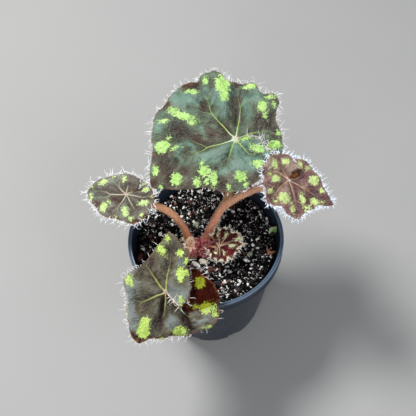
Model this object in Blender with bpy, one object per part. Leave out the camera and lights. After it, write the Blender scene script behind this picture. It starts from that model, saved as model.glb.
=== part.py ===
"""A young eyelash begonia in a thin round nursery pot.

The pot holds soil with perlite in it. A short creeping rhizome lies half buried in the soil, with papery
stipules round its buds and a few roots below. Five petioles rise from sockets in the rhizome, and each one
carries a round, spiral-lobed blade with hairs along its margin. Pebbles, bark and chips lie on the soil.

All sizes below are in millimetres and become metres where a mesh is made. The origin is the centre of the
pot's flat underside, +Z is up, and -Y is the side that faces the viewer.
"""

import math
import random
from dataclasses import dataclass

import bpy
from mathutils import Matrix, Vector, noise

MM = 0.001
CLEARANCE = 0.3

# The pot: a 100 mm nursery pot, turned round its axis
POT_HEIGHT = 86.0
RIM_RADIUS = 50.0
BASE_RADIUS = 36.0
SHOULDER_RADIUS = 46.4
SHOULDER_HEIGHT = 76.0
WALL = 1.2
LIP_WIDTH = 2.4
FLOOR = 1.6
POT_SEGMENTS = 48
DRAIN_COUNT = 8
DRAIN_SIZE = (9.0, 8.0, 9.0)

# The soil: a plug with a crumbly top and white perlite grains
SOIL_LEVEL = 78.0
SOIL_WAVE = 1.6
SOIL_CRUMB = 1.2
SOIL_RINGS = 9
PERLITE_COUNT = 62
PERLITE_SIZE = (1.1, 2.1)

# The blades
BLADE_THICKNESS = 0.7
COLUMN_STEP = 11.0
COLUMN_GAP = 3.0
BLADE_RINGS = (0.2, 0.43, 0.65, 0.85, 1.0)
DOME_SHARE = 0.15
DOME_SPAN = 26.0
LASH_WIDTH = 0.7
LASH_LENGTH = (2.6, 4.4)

# The stems
PETIOLE_SIDES = 9
PETIOLE_STEPS = 12
ROOT_SIDES = 5


@dataclass
class Leaf:
    """One blade and the petiole that carries it."""

    name: str
    seat: tuple  # where the petiole meets the blade
    lean: tuple  # x and y of the blade's normal, for a z of 1
    heading: float  # direction of the tip seen from above, degrees from +X
    margin: tuple  # outline: degrees from the tip, reach from the seat
    veins: tuple  # degrees of the main veins where they meet the margin
    cup: float  # how far the margin stands above the seat
    twist: tuple  # degrees that the first and last lobe turn in towards the seat
    lift: tuple  # how far the first and last lobe stand above the blade
    petiole: tuple  # points from the rhizome up, without the last one at the blade
    stem: tuple  # petiole radius at its foot and its top
    colour: tuple
    stem_colour: tuple


BACK = Leaf(
    name="back",
    seat=(22.8, 34.1, 140.0),
    lean=(-0.10, -0.20),
    heading=-158.4,
    margin=(
        (126, 28.8), (136, 30), (148, 27.9), (163, 27.9), (179, 27.4), (189, 30.8), (195, 36.2), (202, 39.3),
        (208, 38.8), (216, 35.9), (221, 38.6), (227, 41.3), (234, 40.6), (248, 42.4), (251, 44.4),
        (253, 48.7), (257, 52.3), (263, 53), (268, 51.9), (272, 50.2), (276, 52.6), (287, 53.3), (300, 52.9),
        (307, 54.6), (321, 52.9), (327, 52.8), (334, 51), (341, 52), (356, 56.8), (361, 57.9), (370, 49.4),
        (388, 37.3), (398, 34.2), (409, 34.3), (427, 33.9), (435, 32.4), (477, 26.2), (485, 24.2),
        (489, 21.4), (496, 18.1), (504, 15.6), (519, 9.5), (529, 6.7),
    ),
    veins=(171, 235, 270, 301, 326, 350, 409, 472),
    cup=-3.0,
    twist=(26.0, 34.0),
    lift=(-3.0, 1.0),
    petiole=((3.4, 5.2, 79.0), (6.4, 9.4, 86.5), (12.0, 15.0, 95.5), (16.4, 18.0, 104.0),
             (20.4, 24.0, 120.0)),
    stem=(2.3, 2.0),
    colour=(0.075, 0.085, 0.055),
    stem_colour=(0.42, 0.17, 0.07),
)

LEFT = Leaf(
    name="left",
    seat=(-46.7, 17.9, 114.0),
    lean=(-0.20, -0.06),
    heading=-178.7,
    margin=(
        (-149, 6.8), (-132, 9.1), (-77, 15.5), (-65, 17.9), (-51, 20.6), (-39, 24.8), (-33, 26.4),
        (-29, 27.6), (-15, 26.9), (9, 21.2), (28, 20.2), (52, 17.6), (78, 18.2), (100, 21), (120, 21.2),
        (131, 20.2), (156, 18.6), (169, 17), (201, 14.2), (216, 13.4), (230, 11.8), (238, 9.3), (244, 6.2),
    ),
    veins=(-53, -12, 41, 109, 160, 198),
    cup=-1.5,
    twist=(20.0, 20.0),
    lift=(1.4, -1.4),
    petiole=((-10.4, 1.7, 79.0), (-13.9, 6.6, 89.0), (-20.0, 10.7, 99.0), (-29.9, 13.8, 106.0),
             (-39.5, 16.4, 109.5)),
    stem=(2.4, 1.9),
    colour=(0.10, 0.085, 0.05),
    stem_colour=(0.45, 0.18, 0.09),
)

RIGHT = Leaf(
    name="right",
    seat=(51.4, 4.8, 134.8),
    lean=(0.20, -0.24),
    heading=-30.3,
    margin=(
        (100, 7.1), (108, 10.3), (125, 15.4), (146, 17.9), (156, 17.8), (168, 16.7), (196, 16.6),
        (208, 15.1), (222, 16.2), (233, 15.9), (248, 18.2), (257, 20.4), (266, 20), (278, 18.1), (286, 19.4),
        (290, 21.6), (298, 22.5), (305, 24.3), (310, 24.6), (316, 22.8), (326, 21.8), (337, 22.4),
        (346, 22.8), (353, 26), (359, 29.8), (363, 27.6), (372, 23.4), (382, 21.1), (395, 19.6), (407, 17.6),
        (420, 17), (430, 17.2), (467, 12.2), (477, 9),
    ),
    veins=(140, 183, 250, 310, 358, 383, 416),
    cup=2.0,
    twist=(14.0, 14.0),
    lift=(2.2, -0.6),
    petiole=((-0.6, 0.4, 79.5), (2.4, 2.8, 87.6), (6.8, 5.2, 96.6), (12.5, 7.6, 107.0), (24.1, 7.4, 119.1),
             (37.7, 7.2, 127.3), (46.4, 5.8, 131.4)),
    stem=(2.5, 1.9),
    colour=(0.16, 0.06, 0.05),
    stem_colour=(0.48, 0.19, 0.11),
)

FRONT = Leaf(
    name="front",
    seat=(-25.6, -44.5, 100.0),
    lean=(-0.10, -0.22),
    heading=-126.7,
    margin=(
        (72, 8.6), (73, 11.2), (75, 13.2), (88, 14.1), (97, 15.4), (118, 14.8), (127, 15.7), (141, 15.6),
        (156, 16.9), (165, 18.8), (173, 20.3), (177, 25.6), (181, 27.6), (193, 30.3), (205, 36.4), (210, 38),
        (213, 37.5), (216, 34.5), (222, 30.7), (231, 27), (243, 24.3), (256, 23.4), (274, 26.7), (281, 27.6),
        (306, 23.8), (324, 25.9), (339, 28), (347, 31), (359, 33.3), (363, 32.6), (367, 30.1), (373, 27.5),
        (389, 26.5), (395, 25.2), (405, 25.6), (414, 27), (433, 29.6), (446, 33.7), (459, 33.4), (492, 28.6),
        (511, 23.2), (518, 24.2), (525, 22.8), (530, 20.5),
    ),
    veins=(118, 208, 249, 328, 360, 410, 458),
    cup=-5.0,
    twist=(0.0, 114.0),
    lift=(4.0, -4.0),
    petiole=((-6.6, -7.6, 79.5), (-12.6, -15.4, 87.5), (-18.2, -28.0, 92.5), (-22.4, -39.4, 95.5)),
    stem=(2.1, 1.8),
    colour=(0.09, 0.085, 0.065),
    stem_colour=(0.40, 0.09, 0.06),
)

YOUNG = Leaf(
    name="young",
    seat=(8.3, -12.0, 92.0),
    lean=(0.08, -0.15),
    heading=22.3,
    margin=(
        (160, 7.4), (180, 8.6), (196, 8.2), (220, 9.4), (238, 8.8), (262, 10.2), (282, 9.2), (302, 11.6),
        (318, 11), (336, 13.4), (350, 12.4), (372, 14), (384, 12.4), (402, 13.2), (418, 11.2), (436, 11),
        (450, 9.2), (464, 8.3),
    ),
    veins=(190, 242, 313, 348, 400, 435),
    cup=4.5,
    twist=(0.0, 0.0),
    lift=(0.6, -0.6),
    petiole=((1.4, -5.2, 79.5), (3.2, -7.4, 84.0), (6.2, -10.2, 88.0)),
    stem=(1.3, 1.0),
    colour=(0.13, 0.012, 0.016),
    stem_colour=(0.42, 0.16, 0.10),
)

LEAVES = (BACK, LEFT, RIGHT, FRONT, YOUNG)

# The rhizome: knobs as centre and radii, roots as points and a radius at the top
KNOBS = (
    ((-10.4, 1.4, 77.0), (4.9, 4.6, 4.8)),
    ((-5.8, -0.6, 77.6), (5.2, 4.6, 4.9)),
    ((-0.4, 0.2, 77.8), (5.0, 4.4, 4.8)),
    ((3.6, 4.6, 77.0), (4.4, 4.4, 4.8)),
    ((-5.6, -6.0, 77.6), (4.8, 4.8, 4.6)),
    ((0.4, -4.6, 77.6), (4.4, 4.0, 4.4)),
)
ROOTS = (
    ((-10.0, 2.0, 74.0), (-17.0, 6.0, 62.0), (-24.0, 8.0, 44.0)),
    ((-6.0, -2.0, 74.0), (-11.0, -12.0, 60.0), (-13.0, -22.0, 38.0)),
    ((-0.5, 0.5, 74.0), (2.0, 3.0, 56.0), (-4.0, 9.0, 34.0)),
    ((3.4, 4.6, 74.0), (13.0, 11.0, 60.0), (20.0, 16.0, 40.0)),
    ((0.6, -4.4, 74.0), (10.0, -10.0, 62.0), (16.0, -19.0, 46.0)),
)
ROOT_RADIUS = 1.1

# Stipules: foot, direction in degrees from +X, lean from upright, length and width
RED_STIPULES = (
    ((-7.4, -4.2, 79.6), 250.0, 34.0, 8.0, 4.2),
    ((-3.0, -6.4, 80.2), 285.0, 22.0, 8.5, 4.4),
    ((-1.6, -2.6, 80.4), 40.0, 18.0, 7.5, 4.0),
    ((-4.6, -3.6, 80.8), 120.0, 12.0, 7.0, 3.8),
    ((-8.0, -7.6, 79.2), 215.0, 46.0, 7.5, 4.0),
    ((2.2, -2.4, 79.6), 340.0, 44.0, 7.5, 3.8),
    ((-1.0, -8.0, 79.0), 300.0, 52.0, 7.0, 3.6),
)
TAN_STIPULE = ((-10.3, -3.0, 79.0), (-10.8, -4.0, 83.4), (-11.6, -1.6, 88.4))
TAN_STIPULE_WIDTHS = (1.8, 3.2, 0.6)

# What lies on the soil: name, x, y, radii, turn in degrees, sunk depth, colour
PEBBLES = (
    ("pebble_left", -7.3, -15.4, (3.5, 1.4, 1.4), -42.0, 0.7, (0.62, 0.68, 0.52)),
    ("pebble_right", -2.7, -13.9, (3.0, 1.8, 1.6), -32.0, 0.7, (0.70, 0.66, 0.56)),
    ("bark_chip_left", -43.0, -7.0, (3.2, 1.8, 1.1), 70.0, 0.5, (0.16, 0.05, 0.03)),
    ("bark_chip_front", 1.5, -20.5, (4.4, 2.0, 1.1), 12.0, 0.5, (0.17, 0.06, 0.05)),
    ("green_grain_right", 27.6, -11.4, (2.2, 1.8, 1.2), 20.0, 0.5, (0.30, 0.48, 0.30)),
    ("green_grain_back", -5.7, 15.0, (2.7, 1.7, 1.2), 35.0, 0.5, (0.42, 0.52, 0.32)),
)
# The bark curl: points along its middle, half width and height
BARK_CURL = ((38.3, -7.4), (39.6, -12.4), (44.4, -11.0))
BARK_CURL_HALF = 1.9
BARK_CURL_HEIGHT = 2.2
# The fallen leaflet: points along its middle, their heights above the soil, and half widths
LEAFLET = ((41.8, 1.6), (44.3, 4.0), (46.4, 6.0))
LEAFLET_RISES = (0.5, 1.7, 3.2)
LEAFLET_WIDTHS = (1.2, 2.4, 0.4)


def clear_scene():
    """Remove every object that the file starts with."""
    for item in list(bpy.data.objects):
        bpy.data.objects.remove(item, do_unlink=True)


def plain_material(name, colour, roughness, metallic=0.0):
    """A Principled BSDF of one colour."""
    material = bpy.data.materials.new(name)
    material.use_nodes = True
    shader = material.node_tree.nodes["Principled BSDF"]
    shader.inputs["Base Color"].default_value = (*colour, 1.0)
    shader.inputs["Roughness"].default_value = roughness
    shader.inputs["Metallic"].default_value = metallic
    return material


def new_object(name, points, faces, material=None, place=None):
    """An object from points in millimetres, placed by a matrix in millimetres."""
    mesh = bpy.data.meshes.new(name)
    mesh.from_pydata([Vector(point) * MM for point in points], [], faces)
    mesh.update()
    if material:
        mesh.materials.append(material)
    thing = bpy.data.objects.new(name, mesh)
    bpy.context.scene.collection.objects.link(thing)
    if place:
        thing.location = place.translation * MM
        thing.rotation_euler = place.to_euler()
    return thing


def smooth(thing, angle=35.0):
    """Shade a round piece smooth, with its sharp edges kept."""
    thing.data.shade_smooth()
    thing.data.set_sharp_from_angle(angle=math.radians(angle))
    return thing


def boolean(target, operation, others):
    """Join others to the target, or cut them from it, and remove them."""
    group = bpy.data.collections.new("operands")
    for other in others:
        group.objects.link(other)
    modifier = target.modifiers.new(operation, "BOOLEAN")
    modifier.operation = operation
    modifier.operand_type = "COLLECTION"
    modifier.collection = group
    bpy.context.view_layer.update()
    shaped = target.evaluated_get(bpy.context.evaluated_depsgraph_get())
    mesh = bpy.data.meshes.new_from_object(shaped)
    target.modifiers.clear()
    target.data = mesh
    for other in others:
        bpy.data.objects.remove(other, do_unlink=True)
    bpy.data.collections.remove(group)
    return target


def curve_point(points, share):
    """A point on a smooth curve through the points, share 0 to 1."""
    spans = len(points) - 1
    index = min(int(share * spans), spans - 1)
    along = share * spans - index
    before = points[max(index - 1, 0)]
    start = points[index]
    end = points[index + 1]
    after = points[min(index + 2, spans)]
    leave = (end - before) / 2
    arrive = (after - start) / 2
    square = along * along
    cube = square * along
    return (
        start * (2 * cube - 3 * square + 1)
        + leave * (cube - 2 * square + along)
        + end * (3 * square - 2 * cube)
        + arrive * (cube - square)
    )


def tube(points, radii, sides, steps, up=None, flat=1.0):
    """Points and faces of a closed tube along a smooth curve, its last ring square to up if that is given."""
    points = [Vector(point) for point in points]
    vertices = []
    side = None
    for step in range(steps + 1):
        share = step / steps
        centre = curve_point(points, share)
        ahead = curve_point(points, min(share + 0.01, 1.0))
        behind = curve_point(points, max(share - 0.01, 0.0))
        along = (ahead - behind).normalized()
        if up is not None and step == steps:
            along = up.normalized()
        if side is None:
            side = along.orthogonal()
        side = (side - along * side.dot(along)).normalized()
        other = along.cross(side)
        radius = ring_radius(radii, share)
        for k in range(sides):
            turn = math.tau * k / sides
            vertices.append(centre + side * math.cos(turn) * radius + other * math.sin(turn) * radius * flat)
    faces = []
    for step in range(steps):
        for k in range(sides):
            low = step * sides
            high = low + sides
            after = (k + 1) % sides
            faces.append((low + k, low + after, high + after, high + k))
    faces.append(tuple(reversed(range(sides))))
    faces.append(tuple(range(steps * sides, (steps + 1) * sides)))
    return vertices, faces


def ring_radius(radii, share):
    """Radius at a share of the length, straight between the listed ones."""
    spans = len(radii) - 1
    index = min(int(share * spans), spans - 1)
    along = share * spans - index
    return radii[index] * (1 - along) + radii[index + 1] * along


def turned(profile, segments):
    """Points and faces of a closed profile of (radius, height) turned round the Z axis, outer side first."""
    vertices = []
    rows = []
    for radius, height in profile:
        if radius == 0:
            rows.append([len(vertices)] * segments)
            vertices.append((0.0, 0.0, height))
            continue
        rows.append(list(range(len(vertices), len(vertices) + segments)))
        for k in range(segments):
            turn = math.tau * k / segments
            vertices.append((radius * math.cos(turn), radius * math.sin(turn), height))
    faces = []
    for low, high in zip(rows, rows[1:]):
        for k in range(segments):
            after = (k + 1) % segments
            corners = (low[k], low[after], high[after], high[k])
            faces.append(tuple(dict.fromkeys(corners)))
    return vertices, faces


def pot_inside(height, grow=0.0):
    """Radius of the pot's inner wall at a height, less a margin."""
    share = (height - FLOOR) / (SHOULDER_HEIGHT - FLOOR)
    return BASE_RADIUS - WALL + (SHOULDER_RADIUS - BASE_RADIUS) * share - grow


def build_pot():
    """The pot: a thin tapered wall, a rim band, a grooved lip and drain slots round the foot."""
    groove = RIM_RADIUS - LIP_WIDTH / 2
    profile = (
        (0, 0),
        (BASE_RADIUS - 1, 0),
        (BASE_RADIUS, 1),
        (SHOULDER_RADIUS - 0.5, SHOULDER_HEIGHT - 4),
        (SHOULDER_RADIUS + 0.8, SHOULDER_HEIGHT - 2.6),
        (RIM_RADIUS - 1.6, SHOULDER_HEIGHT - 1.2),
        (RIM_RADIUS - 0.7, SHOULDER_HEIGHT),
        (RIM_RADIUS, POT_HEIGHT - 1.2),
        (RIM_RADIUS - 0.2, POT_HEIGHT - 0.3),
        (RIM_RADIUS - 0.6, POT_HEIGHT),
        (groove + 0.4, POT_HEIGHT - 0.1),
        (groove, POT_HEIGHT - 0.6),
        (groove - 0.4, POT_HEIGHT - 0.1),
        (RIM_RADIUS - LIP_WIDTH + 0.3, POT_HEIGHT),
        (RIM_RADIUS - LIP_WIDTH, POT_HEIGHT - 0.4),
        (RIM_RADIUS - LIP_WIDTH - 0.2, SHOULDER_HEIGHT + 3.4),
        (pot_inside(SHOULDER_HEIGHT), SHOULDER_HEIGHT),
        (pot_inside(FLOOR + 1), FLOOR + 1),
        (pot_inside(FLOOR) - 1, FLOOR),
        (0, FLOOR),
    )
    points, faces = turned(profile, POT_SEGMENTS)
    pot = new_object("pot", points, faces, plain_material("slate_plastic", (0.10, 0.15, 0.22), 0.38))
    slots = []
    for k in range(DRAIN_COUNT):
        turn = Matrix.Rotation(math.tau * (k + 0.5) / DRAIN_COUNT, 4, "Z")
        slots.append(box(DRAIN_SIZE, turn @ Matrix.Translation((BASE_RADIUS, 0, 0))))
    return smooth(boolean(pot, "DIFFERENCE", slots))


def box(size, place):
    """A box of the given size, centred on the place."""
    corners = [
        (x * size[0] / 2, y * size[1] / 2, z * size[2] / 2)
        for x in (-1, 1) for y in (-1, 1) for z in (-1, 1)
    ]
    faces = [(0, 1, 3, 2), (4, 6, 7, 5), (0, 4, 5, 1), (2, 3, 7, 6), (0, 2, 6, 4), (1, 5, 7, 3)]
    return cutter(new_object("slot", corners, faces, place=place))


def cutter(thing):
    """Mark a cutting shape so that it counts as no piece."""
    thing.hide_render = True
    thing.display_type = "WIRE"
    return thing


def ellipsoid(name, centre, radii, turn=0.0, grow=0.0, fineness=2, rough=0.0):
    """A lumpy ball with three radii, turned about Z."""
    golden = (1 + math.sqrt(5)) / 2
    corners = []
    for a in (-1, 1):
        for b in (-golden, golden):
            corners += [Vector((0, a, b)), Vector((a, b, 0)), Vector((b, 0, a))]
    faces = [
        (i, j, k)
        for i in range(12) for j in range(i + 1, 12) for k in range(j + 1, 12)
        if max((corners[i] - corners[j]).length, (corners[j] - corners[k]).length,
               (corners[i] - corners[k]).length) < 2.1
    ]
    corners = [corner.normalized() for corner in corners]
    for _ in range(fineness - 1):
        corners, faces = split_faces(corners, faces)
    faces = [outward(corners, face) for face in faces]
    points = []
    for corner in corners:
        bump = 1 + rough * noise.noise(corner * 1.7 + Vector(centre))
        points.append([corner[i] * (radii[i] * bump + grow) for i in range(3)])
    place = Matrix.Translation(centre) @ Matrix.Rotation(math.radians(turn), 4, "Z")
    return new_object(name, points, faces, place=place)


def split_faces(corners, faces):
    """Split each triangle of a unit ball in four."""
    corners = list(corners)
    middles = {}
    finer = []
    for a, b, c in faces:
        mids = []
        for pair in ((a, b), (b, c), (c, a)):
            key = tuple(sorted(pair))
            if key not in middles:
                middles[key] = len(corners)
                corners.append((corners[key[0]] + corners[key[1]]).normalized())
            mids.append(middles[key])
        finer += [(a, mids[0], mids[2]), (mids[0], b, mids[1]), (mids[2], mids[1], c), tuple(mids)]
    return corners, finer


def outward(corners, face):
    """The face with its corners in the order that looks away from the middle."""
    a, b, c = (corners[index] for index in face)
    if (b - a).cross(c - a).dot(a + b + c) < 0:
        return face[0], face[2], face[1]
    return face


def soil_height(x, y):
    """Height of the soil's crumbly top."""
    wave = noise.noise(Vector((x * 0.06, y * 0.06, 3.0)))
    crumb = noise.noise(Vector((x * 0.31, y * 0.31, 9.0)))
    return SOIL_LEVEL + SOIL_WAVE * wave + SOIL_CRUMB * crumb


def build_soil():
    """The soil plug with its perlite, and pockets for what stands or lies in it."""
    rows = [(pot_inside(FLOOR) - 1.4, FLOOR + CLEARANCE), (pot_inside(FLOOR + 1.5, CLEARANCE), FLOOR + 1.6)]
    rows.append((pot_inside(SHOULDER_HEIGHT, CLEARANCE) - 0.1, SHOULDER_HEIGHT))
    edge = pot_inside(SHOULDER_HEIGHT, CLEARANCE) - 0.1
    points, faces = turned([(0, FLOOR + CLEARANCE), *rows], POT_SEGMENTS)
    start = len(points) - POT_SEGMENTS
    for ring in range(SOIL_RINGS):
        radius = edge * (1 - (ring + 0.1) / SOIL_RINGS)
        row = len(points)
        for k in range(POT_SEGMENTS):
            turn = math.tau * k / POT_SEGMENTS
            x = radius * math.cos(turn)
            y = radius * math.sin(turn)
            points.append((x, y, soil_height(x, y)))
        for k in range(POT_SEGMENTS):
            after = (k + 1) % POT_SEGMENTS
            faces.append((start + k, start + after, row + after, row + k))
        start = row
    points.append((0, 0, soil_height(0, 0)))
    for k in range(POT_SEGMENTS):
        faces.append((start + k, start + (k + 1) % POT_SEGMENTS, len(points) - 1))
    soil = new_object("soil", points, faces, plain_material("potting_soil", (0.012, 0.010, 0.009), 0.95))
    boolean(soil, "UNION", perlite_grains(edge))
    cutters = rhizome_shapes(CLEARANCE) + [tan_stipule(CLEARANCE)]
    cutters += [petiole(leaf, CLEARANCE) for leaf in LEAVES]
    cutters += [pebble(*row[:6], CLEARANCE) for row in PEBBLES]
    cutters += [bark_curl(CLEARANCE), leaflet(CLEARANCE)]
    return boolean(soil, "DIFFERENCE", [cutter(item) for item in cutters])


def perlite_grains(edge):
    """White grains strewn over the soil, half sunk in it."""
    draw = random.Random(11)
    grains = []
    places = []
    while len(grains) < PERLITE_COUNT:
        turn = draw.uniform(0, math.tau)
        radius = (edge - 3.2) * math.sqrt(draw.random())
        x = radius * math.cos(turn)
        y = radius * math.sin(turn)
        size = draw.uniform(*PERLITE_SIZE)
        near_crown = math.hypot(x + 3.0, y + 2.0) < 13.0
        crowded = any(math.hypot(x - a, y - b) < size + other + 0.4 for a, b, other in places)
        on_piece = any(math.hypot(x - row[1], y - row[2]) < size + row[3][0] + 0.6 for row in PEBBLES)
        on_flake = any(math.hypot(x - px, y - py) < size + 3.4 for px, py in LEAFLET + BARK_CURL)
        if near_crown or crowded or on_piece or on_flake:
            continue
        places.append((x, y, size))
        radii = [size * draw.uniform(0.75, 1.15) for _ in range(3)]
        centre = (x, y, soil_height(x, y) + size * 0.25)
        grains.append(ellipsoid("grain", centre, radii, draw.uniform(0, 360), fineness=1))
    return grains


def rhizome_shapes(grow=0.0):
    """Knobs, roots and red stipules of the rhizome, each made larger by a margin."""
    shapes = []
    for centre, radii in KNOBS:
        shapes.append(ellipsoid("knob", centre, radii, grow=grow, rough=0.12))
    for points in ROOTS:
        radii = [ROOT_RADIUS + grow, ROOT_RADIUS * 0.7 + grow, ROOT_RADIUS * 0.35 + grow]
        shapes.append(new_object("root", *tube(points, radii, ROOT_SIDES, 6)))
    for foot, turn, lean, length, width in RED_STIPULES:
        shapes.append(stipule(foot, turn, lean, length, width, grow))
    return shapes


def stipule(foot, turn, lean, length, width, grow=0.0):
    """A papery pointed scale that leans out and curls back in at its tip."""
    foot = Vector(foot)
    out = Vector((math.cos(math.radians(turn)), math.sin(math.radians(turn)), 0))
    slope = math.radians(lean)
    middle = foot + (out * math.sin(slope * 1.3) + Vector((0, 0, math.cos(slope * 1.3)))) * length * 0.5
    tip = foot + (out * math.sin(slope) + Vector((0, 0, math.cos(slope)))) * length
    widths = [width * 0.42, width * 0.5, 0.3]
    return new_object("stipule", *scale_blade([foot, middle, tip], widths, grow, out))


def scale_blade(points, widths, grow, out, thick=0.55, steps=4):
    """A thin curved scale of lens section, pointed at its tip."""
    vertices = []
    side = Vector((0, 0, 1)).cross(out).normalized()
    for step in range(steps + 1):
        share = step / steps
        centre = curve_point(points, share)
        ahead = curve_point(points, min(share + 0.02, 1.0))
        behind = curve_point(points, max(share - 0.02, 0.0))
        along = (ahead - behind).normalized()
        face = side.cross(along).normalized()
        wide = ring_radius(widths, share) + grow
        deep = thick * (1 - 0.5 * share) + grow
        for across, depth in ((-1, 0), (-0.5, 0.8), (0.5, 0.8), (1, 0), (0.5, -0.8), (-0.5, -0.8)):
            bow = (1 - across * across) * 0.35
            vertices.append(centre + side * across * wide + face * (depth * deep + bow * wide))
    faces = []
    for step in range(steps):
        for k in range(6):
            low = step * 6
            after = (k + 1) % 6
            faces.append((low + k, low + after, low + 6 + after, low + 6 + k))
    faces.append(tuple(reversed(range(6))))
    faces.append(tuple(range(steps * 6, steps * 6 + 6)))
    return vertices, faces


def tan_stipule(grow=0.0):
    """The large pale stipule at the left petiole's foot."""
    points = [Vector(point) for point in TAN_STIPULE]
    out = Vector((-0.3, -0.95, 0))
    return new_object("stipule_left", *scale_blade(points, TAN_STIPULE_WIDTHS, grow, out, thick=0.8))


def build_rhizome():
    """The knobby rhizome with its roots and stipules, and a socket for each petiole."""
    shapes = rhizome_shapes()
    rhizome = shapes.pop(0)
    rhizome.name = "rhizome"
    boolean(rhizome, "UNION", shapes)
    sockets = [petiole(leaf, CLEARANCE) for leaf in LEAVES] + [tan_stipule(CLEARANCE)]
    boolean(rhizome, "DIFFERENCE", [cutter(item) for item in sockets])
    rhizome.data.materials.clear()
    rhizome.data.materials.append(plain_material("red_rhizome", (0.28, 0.03, 0.03), 0.6))
    return smooth(rhizome)


def frame_of(leaf):
    """The matrix that takes a blade's own frame, tip along X, to its place."""
    up = Vector((*leaf.lean, 1)).normalized()
    turn = math.radians(leaf.heading)
    flat = Vector((math.cos(turn), math.sin(turn), 0))
    tip = Vector((flat.x, flat.y, -(flat.x * up.x + flat.y * up.y) / up.z)).normalized()
    side = up.cross(tip)
    place = Matrix((tip, side, up)).transposed().to_4x4()
    place.translation = Vector(leaf.seat)
    return place


def reach_at(margin, angle):
    """Reach of the margin at an angle, by a smooth curve through the outline's points."""
    index = 0
    while index < len(margin) - 2 and angle > margin[index + 1][0]:
        index += 1
    (low, start), (high, end) = margin[index], margin[index + 1]
    before = margin[max(index - 1, 0)]
    after = margin[min(index + 2, len(margin) - 1)]
    leave = (end - before[1]) / (high - before[0]) * (high - low)
    arrive = (after[1] - start) / (after[0] - low) * (high - low)
    along = (angle - low) / (high - low)
    square = along * along
    cube = square * along
    return (
        start * (2 * cube - 3 * square + 1)
        + leave * (cube - 2 * square + along)
        + end * (3 * square - 2 * cube)
        + arrive * (cube - square)
    )


def blade_point(leaf, angle, out):
    """A point of the blade's upper face: angle along the margin, out 0 at the seat to 1 at the margin."""
    first = leaf.margin[0][0]
    last = leaf.margin[-1][0]
    share = (angle - first) / (last - first)
    reach = reach_at(leaf.margin, angle) * out
    turn = angle + (leaf.twist[0] * (1 - share) ** 3 - leaf.twist[1] * share ** 3) * (1 - out)
    longest = max(radius for _, radius in leaf.margin)
    rise = leaf.cup * (reach / longest) ** 2
    rise += dome(leaf, angle, out)
    rise += (leaf.lift[0] * (1 - share) ** 2 + leaf.lift[1] * share ** 2) * out ** 0.75
    rise += 0.5 * math.sin(math.radians(angle) * 9 + leaf.seat[0]) * out ** 4
    turn = math.radians(turn)
    return Vector((reach * math.cos(turn), reach * math.sin(turn), rise))


def dome(leaf, angle, out):
    """How far the blade bulges up between two veins."""
    stops = vein_stops(leaf)
    index = 0
    while index < len(stops) - 2 and angle > stops[index + 1]:
        index += 1
    low = stops[index]
    high = stops[index + 1]
    width = math.radians(high - low) * reach_at(leaf.margin, (low + high) / 2)
    bulge = math.sin(math.pi * min(max((angle - low) / (high - low), 0), 1)) ** 0.8
    return min(width, DOME_SPAN) * DOME_SHARE * bulge * out * (1.7 - 1.3 * out)


def vein_stops(leaf):
    """The sinus edges and the veins between them, as angles."""
    return (leaf.margin[0][0], *leaf.veins, leaf.margin[-1][0])


def blade_columns(leaf):
    """Angles of the blade's columns: on each vein, at each point of the outline, and between far ones."""
    stops = vein_stops(leaf)
    marks = [angle for angle, _ in leaf.margin if min(abs(angle - stop) for stop in stops) > COLUMN_GAP]
    marks = sorted([*stops, *marks])
    angles = []
    for low, high in zip(marks, marks[1:]):
        steps = max(1, round((high - low) / COLUMN_STEP))
        angles += [low + (high - low) * k / steps for k in range(steps)]
    return angles + [marks[-1]]


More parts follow.
